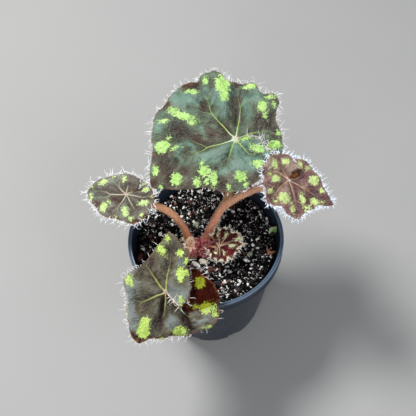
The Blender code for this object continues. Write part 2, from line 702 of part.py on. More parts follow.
def build_blade(leaf):
    """The blade as one thin solid, with tapered hairs standing out of its margin."""
    angles = blade_columns(leaf)
    rings = len(BLADE_RINGS)
    points = [Vector((0, 0, 0))]
    for angle in angles:
        points += [blade_point(leaf, angle, out) for out in BLADE_RINGS]
    drop = Vector((0, 0, -BLADE_THICKNESS))
    below = len(points)
    points += [point + drop for point in points]
    faces = []

    def both(*corners):
        """A triangle on the upper face and its like on the lower one."""
        faces.append(corners)
        faces.append(tuple(corner + below for corner in reversed(corners)))

    def wall(start, end, low_start, low_end):
        """A strip between the two faces, from start to end."""
        faces.append((start, low_start, low_end))
        faces.append((start, low_end, end))

    draw = random.Random(leaf.name)
    for column in range(len(angles) - 1):
        here = 1 + column * rings
        there = here + rings
        both(0, here, there)
        for ring in range(1, rings):
            inner, outer = here + ring - 1, here + ring
            next_inner, next_outer = there + ring - 1, there + ring
            if ring < rings - 1:
                both(inner, outer, next_outer)
                both(inner, next_outer, next_inner)
        start, end = here + rings - 1, there + rings - 1
        edge = points[end] - points[start]
        half = LASH_WIDTH / 2 / edge.length
        roots = []
        for share in (0.5 - half, 0.5 + half):
            root = points[start] + edge * share
            roots.append(len(points))
            points.extend((root, root + drop))
        middle = (points[start] + points[end]) / 2
        across = Vector((edge.y, -edge.x, 0)).normalized()
        across = across * draw.uniform(0.9, 1.1) + edge.normalized() * draw.uniform(-0.35, 0.35)
        tip = middle + drop / 2 + across * draw.uniform(*LASH_LENGTH)
        tip += Vector((0, 0, draw.uniform(-0.8, 0.8)))
        points.append(tip)
        apex = len(points) - 1
        first, second = roots
        inner, next_inner = start - 1, end - 1
        fan = (start, first, second, end, next_inner)
        for top in ((inner, near, far) for near, far in zip(fan, fan[1:])):
            faces.append(top)
            faces.append(tuple(lower(corner, below, roots) for corner in reversed(top)))
        wall(start, first, start + below, first + 1)
        wall(second, end, second + 1, end + below)
        faces += [(first, first + 1, apex), (first + 1, second + 1, apex)]
        faces += [(second + 1, second, apex), (second, first, apex)]
    last = 1 + (len(angles) - 1) * rings
    for ring in range(rings):
        near = 0 if ring == 0 else ring
        wall(near, 1 + ring, near + below, 1 + ring + below)
        near = 0 if ring == 0 else last + ring - 1
        wall(last + ring, near, last + ring + below, near + below)
    colour = plain_material("blade_" + leaf.name, leaf.colour, 0.42)
    blade = new_object("leaf_" + leaf.name, points, faces, colour, frame_of(leaf))
    return smooth(blade, 50.0)


def lower(corner, below, roots):
    """The corner of the lower face under a corner of the upper one."""
    return corner + 1 if corner in roots else corner + below


def petiole(leaf, grow=0.0):
    """The stalk from the rhizome to just under the blade, made larger by a margin."""
    place = frame_of(leaf)
    up = Vector(place.col[2][:3])
    top = leaf.stem[1]
    angles = blade_columns(leaf)
    dips = [blade_point(leaf, angle, min(1.2 * top / reach_at(leaf.margin, angle), 1)).z for angle in angles]
    gap = BLADE_THICKNESS + CLEARANCE - min(0.0, *dips)
    end = Vector(leaf.seat) - up * gap
    points = [Vector(point) for point in leaf.petiole]
    points.append(end - up * top * 1.5)
    points.append(end)
    foot = points[0]
    if grow:
        points[0] = foot - (points[1] - foot).normalized() * grow
    radii = [leaf.stem[0] + grow, top + grow]
    vertices, faces = tube([point - foot for point in points], radii, PETIOLE_SIDES, PETIOLE_STEPS, up)
    colour = plain_material("stalk_" + leaf.name, leaf.stem_colour, 0.55)
    return new_object("petiole_" + leaf.name, vertices, faces, colour, Matrix.Translation(foot))


def pebble(name, x, y, radii, turn, depth, grow=0.0):
    """A lump that lies on the soil, slightly sunk in it."""
    centre = (x, y, soil_height(x, y) + radii[2] - depth)
    return ellipsoid(name, centre, radii, turn, grow, rough=0.2)


def bark_curl(grow=0.0):
    """A curled scrap of bark that stands on edge in the soil."""
    points = []
    for index, (x, y) in enumerate(BARK_CURL):
        rise = BARK_CURL_HEIGHT * (1.0 if index == 1 else 0.6)
        points.append(Vector((x, y, soil_height(x, y) + rise - 0.6)))
    vertices, faces = tube(points, [0.4 + grow, BARK_CURL_HALF + grow, 0.4 + grow], 6, 5, flat=0.42)
    return new_object("bark_curl", vertices, faces)


def leaflet(grow=0.0):
    """A small fallen leaflet that leans from the soil against the pot's wall."""
    points = [Vector((x, y, soil_height(x, y) + rise)) for (x, y), rise in zip(LEAFLET, LEAFLET_RISES)]
    out = Vector((-0.7, -0.66, 0))
    return new_object("fallen_leaflet", *scale_blade(points, LEAFLET_WIDTHS, grow, out, thick=0.5))


def main():
    """Build every piece of the plant and its pot."""
    clear_scene()
    build_pot()
    build_soil()
    build_rhizome()
    smooth(tan_stipule()).data.materials.append(plain_material("tan_stipule", (0.55, 0.38, 0.22), 0.6))
    for leaf in LEAVES:
        build_blade(leaf)
        smooth(petiole(leaf))
    for row in PEBBLES:
        smooth(pebble(*row[:6])).data.materials.append(plain_material(row[0], row[6], 0.8))
    smooth(bark_curl()).data.materials.append(plain_material("bark_curl", (0.34, 0.16, 0.09), 0.6))
    smooth(leaflet()).data.materials.append(plain_material("fallen_leaflet", (0.20, 0.42, 0.12), 0.5))


main()
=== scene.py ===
"""A potted eyelash begonia, dressed round its CAD frame.

The CAD frame gives every piece its place. Each class below rebuilds one part of the plant in finer form: the
pot, the soil with its crumbs and perlite, the crown with its scales, the stalks, the blades with their
blotches, veins and hairs, and what lies on the soil. Most sizes are the CAD source's own. The outlines and
lobes of the left and right blades, the crown's knobs and scales and some small sizes differ a little from
it. Lengths are in millimetres until a mesh is made.

Another program worked out the blades' tables of margins, ribs, ridges, blotches, tones and folds, from marks
that were placed on the photograph. A few of their rows were changed afterwards.
"""

import logging
import math
import random
from dataclasses import dataclass
from enum import Enum, IntEnum
from itertools import combinations

import bpy
import numpy as np
from mathutils import Matrix, Vector, noise


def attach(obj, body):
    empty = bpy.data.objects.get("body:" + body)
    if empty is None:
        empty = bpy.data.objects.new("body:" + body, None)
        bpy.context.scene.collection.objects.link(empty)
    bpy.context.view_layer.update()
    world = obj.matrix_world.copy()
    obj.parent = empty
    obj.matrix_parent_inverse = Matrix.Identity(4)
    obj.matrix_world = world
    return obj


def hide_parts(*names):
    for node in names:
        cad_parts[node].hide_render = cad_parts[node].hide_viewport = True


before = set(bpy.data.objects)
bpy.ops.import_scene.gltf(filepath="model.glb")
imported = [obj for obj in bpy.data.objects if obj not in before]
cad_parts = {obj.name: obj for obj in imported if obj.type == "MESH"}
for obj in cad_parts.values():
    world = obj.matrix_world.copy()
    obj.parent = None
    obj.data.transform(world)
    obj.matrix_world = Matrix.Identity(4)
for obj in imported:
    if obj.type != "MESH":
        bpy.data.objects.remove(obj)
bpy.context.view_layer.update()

logging.basicConfig(level=logging.INFO, format="%(message)s")
log = logging.getLogger("begonia")

MM = 0.001
BODY = "root"
Colour = tuple[float, float, float]
Pair = tuple[float, float]
Point = tuple[float, float, float]

# Sizes shared with the CAD source
POT_HEIGHT = 86.0
RIM_RADIUS = 50.0
BASE_RADIUS = 36.0
SHOULDER_RADIUS = 46.4
SHOULDER_HEIGHT = 76.0
WALL = 1.2
LIP_WIDTH = 2.4
FLOOR = 1.6
SOIL_LEVEL = 78.0
SOIL_WAVE = 1.6
SOIL_CRUMB = 1.2
BLADE_THICKNESS = 0.7
DOME_SHARE = 0.15
DOME_SPAN = 26.0

# A distance that counts as out of reach, and the reach beyond which a vein starts as a branch of another
FAR = 99.0
BRANCH_START = 4.1
# Height of the pot's recessed underside, and the gap between the soil's foot and the pot
UNDERSIDE_RISE = 0.6
SOIL_GAP = 0.3


class Slot(Enum):
    """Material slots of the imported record."""

    POT = "pot_plastic"
    SOIL = "potting_mix"
    RHIZOME = "rhizome"
    STIPULE = "stipule"
    PETIOLE = "petiole"
    BRONZE = "blade_bronze"
    OLIVE = "blade_olive"
    RED = "blade_red"
    YOUNG = "blade_young"
    PEBBLE = "pebble"
    BARK = "bark"
    GRAIN = "green_grain"
    LEAFLET = "leaflet"


class Shading(Enum):
    """How light runs over a piece's faces."""

    SMOOTH = True
    FACETED = False


class Layer(IntEnum):
    """A blade's materials, in the order of its list."""

    UPPER = 0
    LOWER = 1
    VEIN = 2
    HAIR = 3
    SHADED = 4

def unit(vectors: np.ndarray) -> np.ndarray:
    """Rows scaled to length one."""
    return vectors / np.maximum(np.linalg.norm(vectors, axis=-1, keepdims=True), 1e-9)


def noise_at(points: np.ndarray, scale: float, seed: float = 0.0) -> np.ndarray:
    """Smooth noise from -1 to 1 at each point, for features 1 / scale across."""
    return np.array([noise.noise(Vector((x * scale + seed, y * scale, z * scale))) for x, y, z in points])


def ring_angles(count: int) -> np.ndarray:
    """Angles in radians of points spread evenly round a circle."""
    return np.arange(count) * math.tau / count


def flat_point(angle: float, reach: float) -> Pair:
    """X and y of a place that is given by its angle in degrees and its reach."""
    turn = math.radians(angle)
    return reach * math.cos(turn), reach * math.sin(turn)


def hermite(start: np.ndarray, end: np.ndarray, leave: np.ndarray, arrive: np.ndarray,
            along: np.ndarray) -> np.ndarray:
    """Values on a smooth curve from one value to the next.

    Args:
        start: Values at the start.
        end: Values at the end.
        leave: Slopes at the start.
        arrive: Slopes at the end.
        along: How far along each value lies, from 0 to 1.

    Returns:
        The values there.
    """
    square, cube = along**2, along**3
    return (
        start * (2 * cube - 3 * square + 1)
        + leave * (cube - 2 * square + along)
        + end * (3 * square - 2 * cube)
        + arrive * (cube - square)
    )


def curve_through(points: np.ndarray, count: int) -> np.ndarray:
    """Points spread along a smooth curve through the given ones.

    Args:
        points: The points that the curve passes, one a row.
        count: How many points to return.

    Returns:
        The points along the curve, first and last ones included.
    """
    spans = len(points) - 1
    share = np.linspace(0, spans, count)
    index = np.minimum(share.astype(int), spans - 1)
    before = points[np.maximum(index - 1, 0)]
    after = points[np.minimum(index + 2, spans)]
    start, end = points[index], points[index + 1]
    return hermite(start, end, (end - before) / 2, (after - start) / 2, (share - index)[:, None])


def strip_frame(line: np.ndarray, face: Point) -> tuple[np.ndarray, np.ndarray, np.ndarray]:
    """Directions that a strip is built on.

    Args:
        line: The strip's middle line, one point a row.
        face: Rough direction in which the strip faces.

    Returns:
        Directions along the line, across it and out of its face.
    """
    ahead = unit(np.gradient(line, axis=0))
    side = unit(np.cross((0, 0, 1), np.array(face)))
    return ahead, side, unit(np.cross(side, ahead))


def strip_rings(line: np.ndarray, side: np.ndarray, out: np.ndarray, across: np.ndarray,
                rise: np.ndarray) -> np.ndarray:
    """Points of a strip's rings.

    Args:
        line: The strip's middle line, one point for each ring.
        side: Direction across the strip.
        out: Directions out of its face, one for each ring.
        across: How far each point lies across the strip, one row for each ring.
        rise: How far each point lies out of its face.

    Returns:
        The points, by ring.
    """
    return line[:, None] + side * across[..., None] + out[:, None] * rise[..., None]


def add_object(name: str, data: bpy.types.ID) -> bpy.types.Object:
    """Put a new object in the scene."""
    thing = bpy.data.objects.new(name, data)
    bpy.context.scene.collection.objects.link(thing)
    return thing


def soil_height(x: float, y: float) -> float:
    """Height of the soil's crumbly top, as in the CAD source."""
    wave = noise.noise(Vector((x * 0.06, y * 0.06, 3.0)))
    crumb = noise.noise(Vector((x * 0.31, y * 0.31, 9.0)))
    return SOIL_LEVEL + SOIL_WAVE * wave + SOIL_CRUMB * crumb


def pot_inside(height: float) -> float:
    """Radius of the pot's inner wall at a height."""
    share = (height - FLOOR) / (SHOULDER_HEIGHT - FLOOR)
    return BASE_RADIUS - WALL + (SHOULDER_RADIUS - BASE_RADIUS) * share


class Signal:
    """A node's output. Python's operators on it add the nodes that work the result out."""

    def __init__(self, graph: "Graph", socket: bpy.types.NodeSocket) -> None:
        """Wrap one output socket of a graph."""
        self.graph = graph
        self.socket = socket

    def _join(self, operation: str, first: "Signal | float", second: "Signal | float") -> "Signal":
        """Combine two values: numbers by Math, colours by Mix."""
        pair = (first, second)
        if any(isinstance(item, Signal) and item.socket.type == "RGBA" for item in pair):
            first, second = (item if isinstance(item, Signal) else (item,) * 3 for item in pair)
            return self.graph.mix(first, second, 1.0, operation)
        return self.graph.node("ShaderNodeMath", {"operation": operation}, {0: first, 1: second})

    def __add__(self, other: "Signal | float") -> "Signal":
        """Sum."""
        return self._join("ADD", self, other)

    def __radd__(self, other: float) -> "Signal":
        """Sum, number first."""
        return self._join("ADD", other, self)

    def __sub__(self, other: "Signal | float") -> "Signal":
        """Difference."""
        return self._join("SUBTRACT", self, other)

    def __rsub__(self, other: float) -> "Signal":
        """Difference, number first."""
        return self._join("SUBTRACT", other, self)

    def __mul__(self, other: "Signal | float") -> "Signal":
        """Product."""
        return self._join("MULTIPLY", self, other)

    def __rmul__(self, other: float) -> "Signal":
        """Product, number first."""
        return self._join("MULTIPLY", other, self)

    def __truediv__(self, other: "Signal | float") -> "Signal":
        """Quotient."""
        return self._join("DIVIDE", self, other)

    def step(self, low: float, high: float) -> "Signal":
        """A soft step from 0 at low to 1 at high."""
        sockets = {"Value": self, "From Min": low, "From Max": high}
        return self.graph.node("ShaderNodeMapRange", {"interpolation_type": "SMOOTHSTEP"}, sockets)

    def ramp(self, *stops: tuple[float, Colour]) -> "Signal":
        """The colour that stops of position and colour give."""
        return self.graph.node("ShaderNodeValToRGB", {"stops": stops}, {0: self})


class Graph:
    """The node tree of one material."""

    def __init__(self, name: str) -> None:
        """Start a material with its Principled BSDF."""
        self.material = bpy.data.materials.new(name)
        self.material.use_nodes = True
        self.tree = self.material.node_tree
        self.shader = self.tree.nodes["Principled BSDF"]
        self.place = self.node("ShaderNodeTexCoord", out="Object")

    def node(self, kind: str, settings: dict | None = None, sockets: dict | None = None,
             out: str | int = 0) -> Signal:
        """Add a node.

        Args:
            kind: The node's type.
            settings: Its properties, which are set first. A ramp's stops are given as stops.
            sockets: Values or signals for its inputs, by name or number.
            out: The output to return.

        Returns:
            The chosen output.
        """
        made = self.tree.nodes.new(kind)
        for key, value in (settings or {}).items():
            if key == "stops":
                self._set_stops(made.color_ramp.elements, value)
            else:
                setattr(made, key, value)
        for key, value in (sockets or {}).items():
            self.feed(made.inputs[key], value)
        return Signal(self, made.outputs[out])

    @staticmethod
    def _set_stops(elements: bpy.types.ColorRampElements, stops: tuple) -> None:
        """Give a ramp its stops."""
        elements[0].position, elements[1].position = stops[0][0], stops[-1][0]
        elements[0].color, elements[1].color = (*stops[0][1], 1), (*stops[-1][1], 1)
        for position, colour in stops[1:-1]:
            elements.new(position).color = (*colour, 1)

    def feed(self, socket: bpy.types.NodeSocket, value: "Signal | float | tuple") -> None:
        """Link a signal to an input, or set the input's value."""
        if isinstance(value, Signal):
            self.tree.links.new(value.socket, socket)
        elif socket.type == "RGBA" and len(value) == 3:
            socket.default_value = (*value, 1)
        else:
            socket.default_value = value

    def mix(self, first: "Signal | Colour", second: "Signal | Colour", share: "Signal | float",
            blend: str = "MIX") -> Signal:
        """Blend two colours."""
        settings = {"data_type": "RGBA", "blend_type": blend}
        return self.node("ShaderNodeMix", settings, {0: share, 6: first, 7: second}, out=2)

    def grain(self, size: float, detail: float = 2.0, place: Signal | None = None,
              rough: float = 0.55) -> Signal:
        """Noise from 0 to 1 with features of a size in millimetres."""
        sockets = {"Vector": place or self.place, "Scale": 1 / (size * MM)}
        sockets |= {"Detail": detail, "Roughness": rough}
        return self.node("ShaderNodeTexNoise", None, sockets)

    def _scatter(self, size: float, settings: dict | None = None, out: str | int = 0) -> Signal:
        """Cells of a size in millimetres round scattered centres."""
        sockets = {"Vector": self.place, "Scale": 1 / (size * MM)}
        return self.node("ShaderNodeTexVoronoi", settings, sockets, out)

    def cells(self, size: float, feature: str = "F1") -> Signal:
        """Distance from the nearest cell centre, or from the nearest edge by that feature, in cells."""
        return self._scatter(size, {"feature": feature})

    def patches(self, size: float) -> Signal:
        """A chance value from 0 to 1 for each of scattered cells."""
        return self.node("ShaderNodeSeparateColor", None, {0: self._scatter(size, out="Color")})

    def value(self, name: str) -> Signal:
        """A number that the mesh carries at its points."""
        return self.node("ShaderNodeAttribute", {"attribute_name": name}, out="Fac")

    def finish(self, colour: "Signal | Colour", roughness: "Signal | float", height: Signal | None = None,
               relief: float = 0.2, **uniform: float) -> bpy.types.Material:
        """Wire the shader.

        Args:
            colour: Base colour.
            roughness: Roughness.
            height: Height of the surface's fine relief, 0 to 1.
            relief: Depth of that relief in millimetres.
            **uniform: Values set straight on the shader's own sockets, with _ for a space.

        Returns:
            The material.
        """
        self.feed(self.shader.inputs["Base Color"], colour)
        self.feed(self.shader.inputs["Roughness"], roughness)
        if height:
            sockets = {"Strength": 1.0, "Distance": relief * MM, "Height": height}
            self.feed(self.shader.inputs["Normal"], self.node("ShaderNodeBump", None, sockets))
        for name, value in uniform.items():
            self.feed(self.shader.inputs[name.replace("_", " ")], value)
        return self.material


class Shape:
    """Points, faces and point values of a piece that is being put together, in millimetres."""

    def __init__(self) -> None:
        """Start empty."""
        self.points: list[np.ndarray] = []
        self.faces: list[list[int]] = []
        self.finishes: list[int] = []
        self.values: list[dict[str, np.ndarray]] = []
        self.count = 0

    def add(self, points: np.ndarray, faces: np.ndarray | list, finish: int | np.ndarray = 0,
            **values: np.ndarray) -> None:
        """Add a part.

        Args:
            points: Its points, one a row.
            faces: Its faces, as rows of indices into those points.
            finish: Number of its material, or one for each face.
            **values: Numbers that its points carry.
        """
        rows = (faces + self.count).tolist() if isinstance(faces, np.ndarray) else [
            [index + self.count for index in face] for face in faces
        ]
        self.faces += rows
        self.finishes += np.broadcast_to(finish, len(rows)).tolist()
        self.points.append(np.asarray(points, float))
        self.values.append(values)
        self.count += len(points)

    def tube(self, line: np.ndarray, radii: np.ndarray, sides: int, finish: int = 0,
             **values: np.ndarray) -> None:
        """Add a closed tube along a line, with one radius and one value for each point of the line."""
        ahead = unit(np.gradient(line, axis=0))
        side = np.array(Vector(ahead[0]).orthogonal().normalized())
        turn = ring_angles(sides)
        rings = []
        for centre, along, radius in zip(line, ahead, radii):
            side = unit(side - along * (side @ along))
            other = np.cross(along, side)
            rings.append(centre + radius * (np.outer(np.cos(turn), side) + np.outer(np.sin(turn), other)))
        spread = {key: np.repeat(value, sides) for key, value in values.items()}
        spread["across"] = np.tile(np.cos(turn), len(line))
        spread["round"] = np.tile(np.sin(turn), len(line))
        self.add(np.concatenate(rings), tube_faces(len(line), sides), finish, **spread)

    def make(self, name: str, materials: list[bpy.types.Material], replaces: tuple[str, ...] = (),
             place: Matrix | None = None, shading: Shading = Shading.SMOOTH) -> bpy.types.Object:
        """Make the piece and let it ride on the CAD body.

        Args:
            name: The piece's name.
            materials: Its materials, in the order of the finish numbers.
            replaces: The CAD nodes that it stands for.
            place: The frame that its points are in, in millimetres.
            shading: Smooth or faceted.

        Returns:
            The new object.
        """
        mesh = bpy.data.meshes.new(name)
        mesh.from_pydata(np.concatenate(self.points) * MM, [], self.faces)
        mesh.polygons.foreach_set("material_index", self.finishes)
        mesh.polygons.foreach_set("use_smooth", [shading.value] * len(self.faces))
        for key in sorted({key for values in self.values for key in values}):
            parts = [
                np.asarray(carried.get(key, np.zeros(len(points))), float)
                for carried, points in zip(self.values, self.points)
            ]
            mesh.attributes.new(key, "FLOAT", "POINT").data.foreach_set("value", np.concatenate(parts))
        for material in materials:
            mesh.materials.append(material)
        if place:
            mesh.transform(Matrix.Translation(place.translation * MM) @ place.to_3x3().to_4x4())
        mesh.update()
        thing = add_object(name, mesh)
        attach(thing, BODY)
        if replaces:
            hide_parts(*replaces)
        log.info("%s: %d points, %d faces", name, self.count, len(self.faces))
        return thing


def tube_faces(rings: int, sides: int) -> list[list[int]]:
    """Faces of a closed tube of some rings, its two ends last."""
    faces = []
    for low in range(0, (rings - 1) * sides, sides):
        for k in range(sides):
            after = (k + 1) % sides
            faces.append([low + k, low + after, low + sides + after, low + sides + k])
    return [*faces, list(range(sides))[::-1], list(range((rings - 1) * sides, rings * sides))]


def turned_faces(rings: int, sides: int) -> list[list[int]]:
    """Faces of a turned body whose ends are fans round two more points, one for each end."""
    faces = tube_faces(rings, sides)[:-2]
    count = rings * sides
    for k in range(sides):
        after = (k + 1) % sides
        faces.append([count, after, k])
        faces.append([count + 1, count - sides + k, count - sides + after])
    return faces


@dataclass(frozen=True)
class Hair:
    """How one coat of hairs grows."""

    length: Pair
    radius: float
    bend: float = 0.6
    curl: float = 0.5
    steps: int = 5
    sides: int = 3

    def grow(self, shape: Shape, roots: np.ndarray, ways: np.ndarray, draw: np.random.Generator,
             finish: int = 0) -> None:
        """Add a thin curved hair at each root.

        Args:
            shape: The piece that gets the hairs.
            roots: Where they stand, one a row.
            ways: The direction that each sets out in.
            draw: Source of random numbers.
            finish: Number of their material.
        """
        count = len(roots)
        reach = draw.uniform(*self.length, count)[:, None] / self.steps
        way = unit(ways)
        axis = unit(draw.normal(size=(count, 3)))
        bend = draw.normal(0, self.bend, count)[:, None]
        phase = draw.uniform(0, math.tau, count)[:, None]
        spot = np.array(roots, float)
        turn = ring_angles(self.sides)
        rings = []
        for step in range(self.steps + 1):
            share = step / self.steps
            first = unit(np.cross(way, axis))[:, None]
            second = np.cross(way[:, None], first)
            thin = self.radius * (1 - 0.8 * share**1.5)
            ring = np.cos(turn)[None, :, None] * first + np.sin(turn)[None, :, None] * second
            rings.append(spot[:, None] + ring * thin)
            spot = spot + way * reach
            swing = bend + self.curl * np.sin(phase + share * 8)
            way = unit(way + first[:, 0] * swing * 2 / self.steps)
        points = np.stack(rings, axis=1).reshape(-1, 3)
        one = tube_faces(self.steps + 1, self.sides)
        stride = (self.steps + 1) * self.sides
        share = np.tile(np.repeat(np.linspace(0, 1, self.steps + 1), self.sides), count)
        starts = range(0, count * stride, stride)
        faces = [[index + start for index in face] for start in starts for face in one]
        shape.add(points, faces, finish, along=share)


@dataclass(frozen=True)
class BladeFinish:
    """Colours of one kind of blade, its veins and its hairs."""

    name: str
    slot: Slot
    teal: Colour
    base: Colour
    brown: Colour
    dark: Colour
    rim: Colour
    lime: Colour
    lime_pale: Colour
    vein: Colour
    seat: Colour
    under: Colour
    hair: Colour
    gloss: float = 0.36
    shine: float = 0.45
    ragged: float = 1.0
    soft: float = 0.45
    seat_size: float = 1.9
    cream: Colour = (0.66, 0.66, 0.48)
    rust: Colour = (0.30, 0.105, 0.025)
    shadow: float = 0.0
    net_and_sheen: float = 1.0

    def upper(self) -> bpy.types.Material:
        """Upper face: bronze and teal ground, ragged lime blotches, pale seat, brown rim, painted shade and
        sheen.
        """
        g = Graph(self.name + "_upper")
        broad, middle, small = g.grain(10, 2), g.grain(3.0, 3), g.grain(1.3, 4, rough=0.75)
        fine, grit, cell = g.grain(0.55, 3, rough=0.7), g.cells(1.15), g.patches(0.75)
        net = g.cells(2.4, "DISTANCE_TO_EDGE") + (small - 0.5) * 0.08
        spread = {0: g.value("ray") * 0.30 + (middle - 0.5) * 1.6, 1: g.value("seat") * 0.13}
        rays = g.grain(1000, 3, place=g.node("ShaderNodeCombineXYZ", None, spread), rough=0.7)
        hollow = g.value("rise")
        deep = g.value("tone").step(1.2, 2.3)
        drift = (broad - 0.5) * 2.2 + (middle - 0.5) * 1.8 + (small - 0.5) * 1.2 - hollow * 0.3
        tone = g.value("tone") + drift * (1 - deep * 0.6)
        # The teal end is partly the blade's own grey-green and partly painted sheen, where tone marks are
        # negative.
        ground = ((tone + 1.6) / 5).ramp(
            (0.08, self.teal), (0.32, self.base), (0.50, self.brown), (0.70, self.dark), (0.86, self.dark),
            (0.95, self.rust),
        )
        # Painted shade: the ground darkens in hollows and creases, by the relief measure that the mesh
        # carries.
        shade = (hollow + (small - 0.5) * 1.6).step(-1.9, 1.1)
        coarse = 0.70 * shade + 0.26 * middle
        ground = ground * (coarse + 0.2 * small + 0.52 * fine + 0.16 * cell + 0.9 * rays - 0.42)
        pale = tuple(0.55 * c + 0.16 for c in self.teal)
        light = (1 - deep) * self.net_and_sheen
        ground = g.mix(ground, pale, net.step(0.07, 0.0) * middle.step(0.4, 0.6) * light * 0.3)
        # Painted sheen: a pale teal wash on crests and where tone marks are strongly negative, less in the
        # painted shadow.
        sheen = (hollow + (middle - 0.5) * 2.5 + (rays - 0.5) * 2.2).step(0.5, 1.9) * light * 0.4
        sheen = sheen + g.value("tone").step(-1.0, -2.2) * (fine * 0.3 + rays * 0.2)
        ground = g.mix(ground, pale, sheen)
        edge = g.value("edge") + (middle - 0.5) * 5.0 + (small - 0.5) * 3.0
        rim = g.mix(self.rim, self.cream, g.value("tone").step(-1.4, -2.4))
        colour = g.mix(rim, ground, edge.step(-0.9, 1.0))
        reach = (middle - 0.5) * 2.6 + (small - 0.5) * 5.4 + (cell - 0.5) * 1.3 + (rays - 0.5) * 2.6
        reach = reach * self.ragged + (fine - 0.5) * 2.8
        blotch = g.value("spot") + reach + 0.12
        lime = g.mix(self.lime, self.lime_pale, (small * 0.8 + fine * 0.5 + broad * 0.5).step(0.6, 1.15))
        lime = lime * (0.5 + 0.42 * fine + 0.34 * middle + 0.32 * rays)
        flecks = (grit + (fine - 0.5) * 0.6).step(0.06, 0.36) * 0.6 + 0.4
        specks = (cell + (fine - 0.5) * 0.4).step(0.84, 0.9) * g.value("spot").step(-2.2, -0.6)
        colour = g.mix(colour, lime, specks * 0.45)
        colour = g.mix(colour, lime, blotch.step(0.05 - self.soft * 0.5, 0.05 + self.soft) * flecks)
        # Painted shadow: where tones are strong, the colour darkens by the finish's shadow share; only the
        # smoke finish has one.
        colour = colour * (1 - deep * self.shadow)
        halo = (g.value("vein") + (fine - 0.5) * 0.8).step(1.0, 0.1)
        colour = g.mix(colour, self.vein, halo * (g.value("seat").step(22, 6) * 0.3))
        dust = (fine * 0.7 + small * 0.4).step(0.66, 0.76)
        colour = g.mix(colour, (0.55, 0.58, 0.54), dust * (0.4 - 0.4 * deep))
        seat = g.value("seat") + (small - 0.5) * 1.6
        colour = g.mix(colour, self.seat, seat.step(self.seat_size * 1.3, self.seat_size * 0.7) * 0.92)
        rough = self.gloss + (fine - 0.5) * 0.3 + (middle - 0.5) * 0.25
        rough = rough + g.value("tone").step(1.0, 2.0) * 0.35
        height = fine * 0.45 + grit * 0.3 + small * 0.9 + middle * 1.0
        height = height + net.step(0.0, 0.25) * 0.5 + rays * 0.9
        return g.finish(colour, rough, height, 0.55, Specular_IOR_Level=self.shine)

    def lower(self) -> bpy.types.Material:
        """Lower face: dull red with paler veins and light hairs' specks."""
        g = Graph(self.name + "_lower")
        broad, fine = g.grain(9, 3), g.grain(1.1, 3)
        colour = g.mix(self.under, tuple(c * 0.45 for c in self.under), broad.step(0.35, 0.7))
        blotch = g.value("spot") + (broad - 0.5) * 3
        colour = g.mix(colour, (0.34, 0.30, 0.12), blotch.step(-0.3, 0.9) * 0.6)
        colour = g.mix(colour, self.vein, g.value("vein").step(1.4, 0.2) * 0.35) * (0.7 + 0.6 * fine)
        return g.finish(colour, 0.5 + (fine - 0.5) * 0.2, fine + broad, 0.3)

    def ribs(self) -> bpy.types.Material:
        """Veins: pale at the seat and fading into the blade at their tips."""
        g = Graph(self.name + "_veins")
        along, fine = g.value("along"), g.grain(1.3, 3)
        colour = g.mix(self.vein, self.base, (along + (fine - 0.5) * 0.5).step(0.30, 0.85) * 0.85)
        colour = g.mix(self.seat, colour, (along + (fine - 0.5) * 0.2).step(0.02, 0.22))
        return g.finish(colour * (0.7 + 0.6 * fine), 0.42 + 0.15 * fine, fine, 0.12)

    def hairs(self) -> bpy.types.Material:
        """Hairs of the margin, clear white with a warm foot."""
        return HairFinish(self.name + "_hairs", self.hair, self.rim).material()


@dataclass(frozen=True)
class HairFinish:
    """Clear hairs, tinted at the foot."""

    name: str
    tip: Colour
    foot: Colour

    def material(self) -> bpy.types.Material:
        """Glassy hairs that take the colour of the piece at their foot."""
        g = Graph(self.name)
        along, fine = g.value("along"), g.grain(0.6, 2)
        colour = g.mix(self.foot, self.tip, (along + (fine - 0.5) * 0.4).step(-0.15, 0.4))
        # The faint emission is painted light: it brightens the hairs as if lit from behind.
        return g.finish(colour, 0.3 + 0.2 * fine, Emission_Color=(*self.tip, 1), Emission_Strength=0.14)


@dataclass(frozen=True)
class StalkFinish:
    """Fleshy stalk with fine lengthwise streaks."""

    name: str
    foot: Colour
    middle: Colour
    top: Colour

    def material(self) -> bpy.types.Material:
        """Colours that change along the stalk, streaks along it and pale specks."""
        g = Graph(self.name)
        along = g.value("along")
        sockets = {0: g.value("across") * 2.2, 1: g.value("round") * 2.2, 2: along * 9}
        rounds = g.node("ShaderNodeCombineXYZ", None, sockets)
        streaks = g.node("ShaderNodeTexNoise", None, {"Vector": rounds, "Scale": 2.4, "Detail": 4.0})
        fine, specks = g.grain(0.8, 3), g.cells(1.3) + (streaks - 0.5) * 0.3
        colour = (along + (streaks - 0.5) * 0.4).ramp((0.0, self.foot), (0.45, self.middle), (1.0, self.top))
        colour = colour * (0.80 + 0.46 * streaks + 0.5 * fine)
        pale = tuple(min(c * 1.2 + 0.22, 0.92) for c in self.middle)
        colour = g.mix(colour, pale, specks.step(0.42, 0.22) * 0.8)
        dots = g.cells(0.95).step(0.46, 0.24) * (fine + streaks * 0.5).step(0.6, 0.9)
        colour = g.mix(colour, tuple(c * 0.4 for c in self.foot), dots * 0.7)
        return g.finish(colour, 0.42 + 0.2 * fine, streaks + fine * 0.7, 0.35, Subsurface_Weight=0.08)


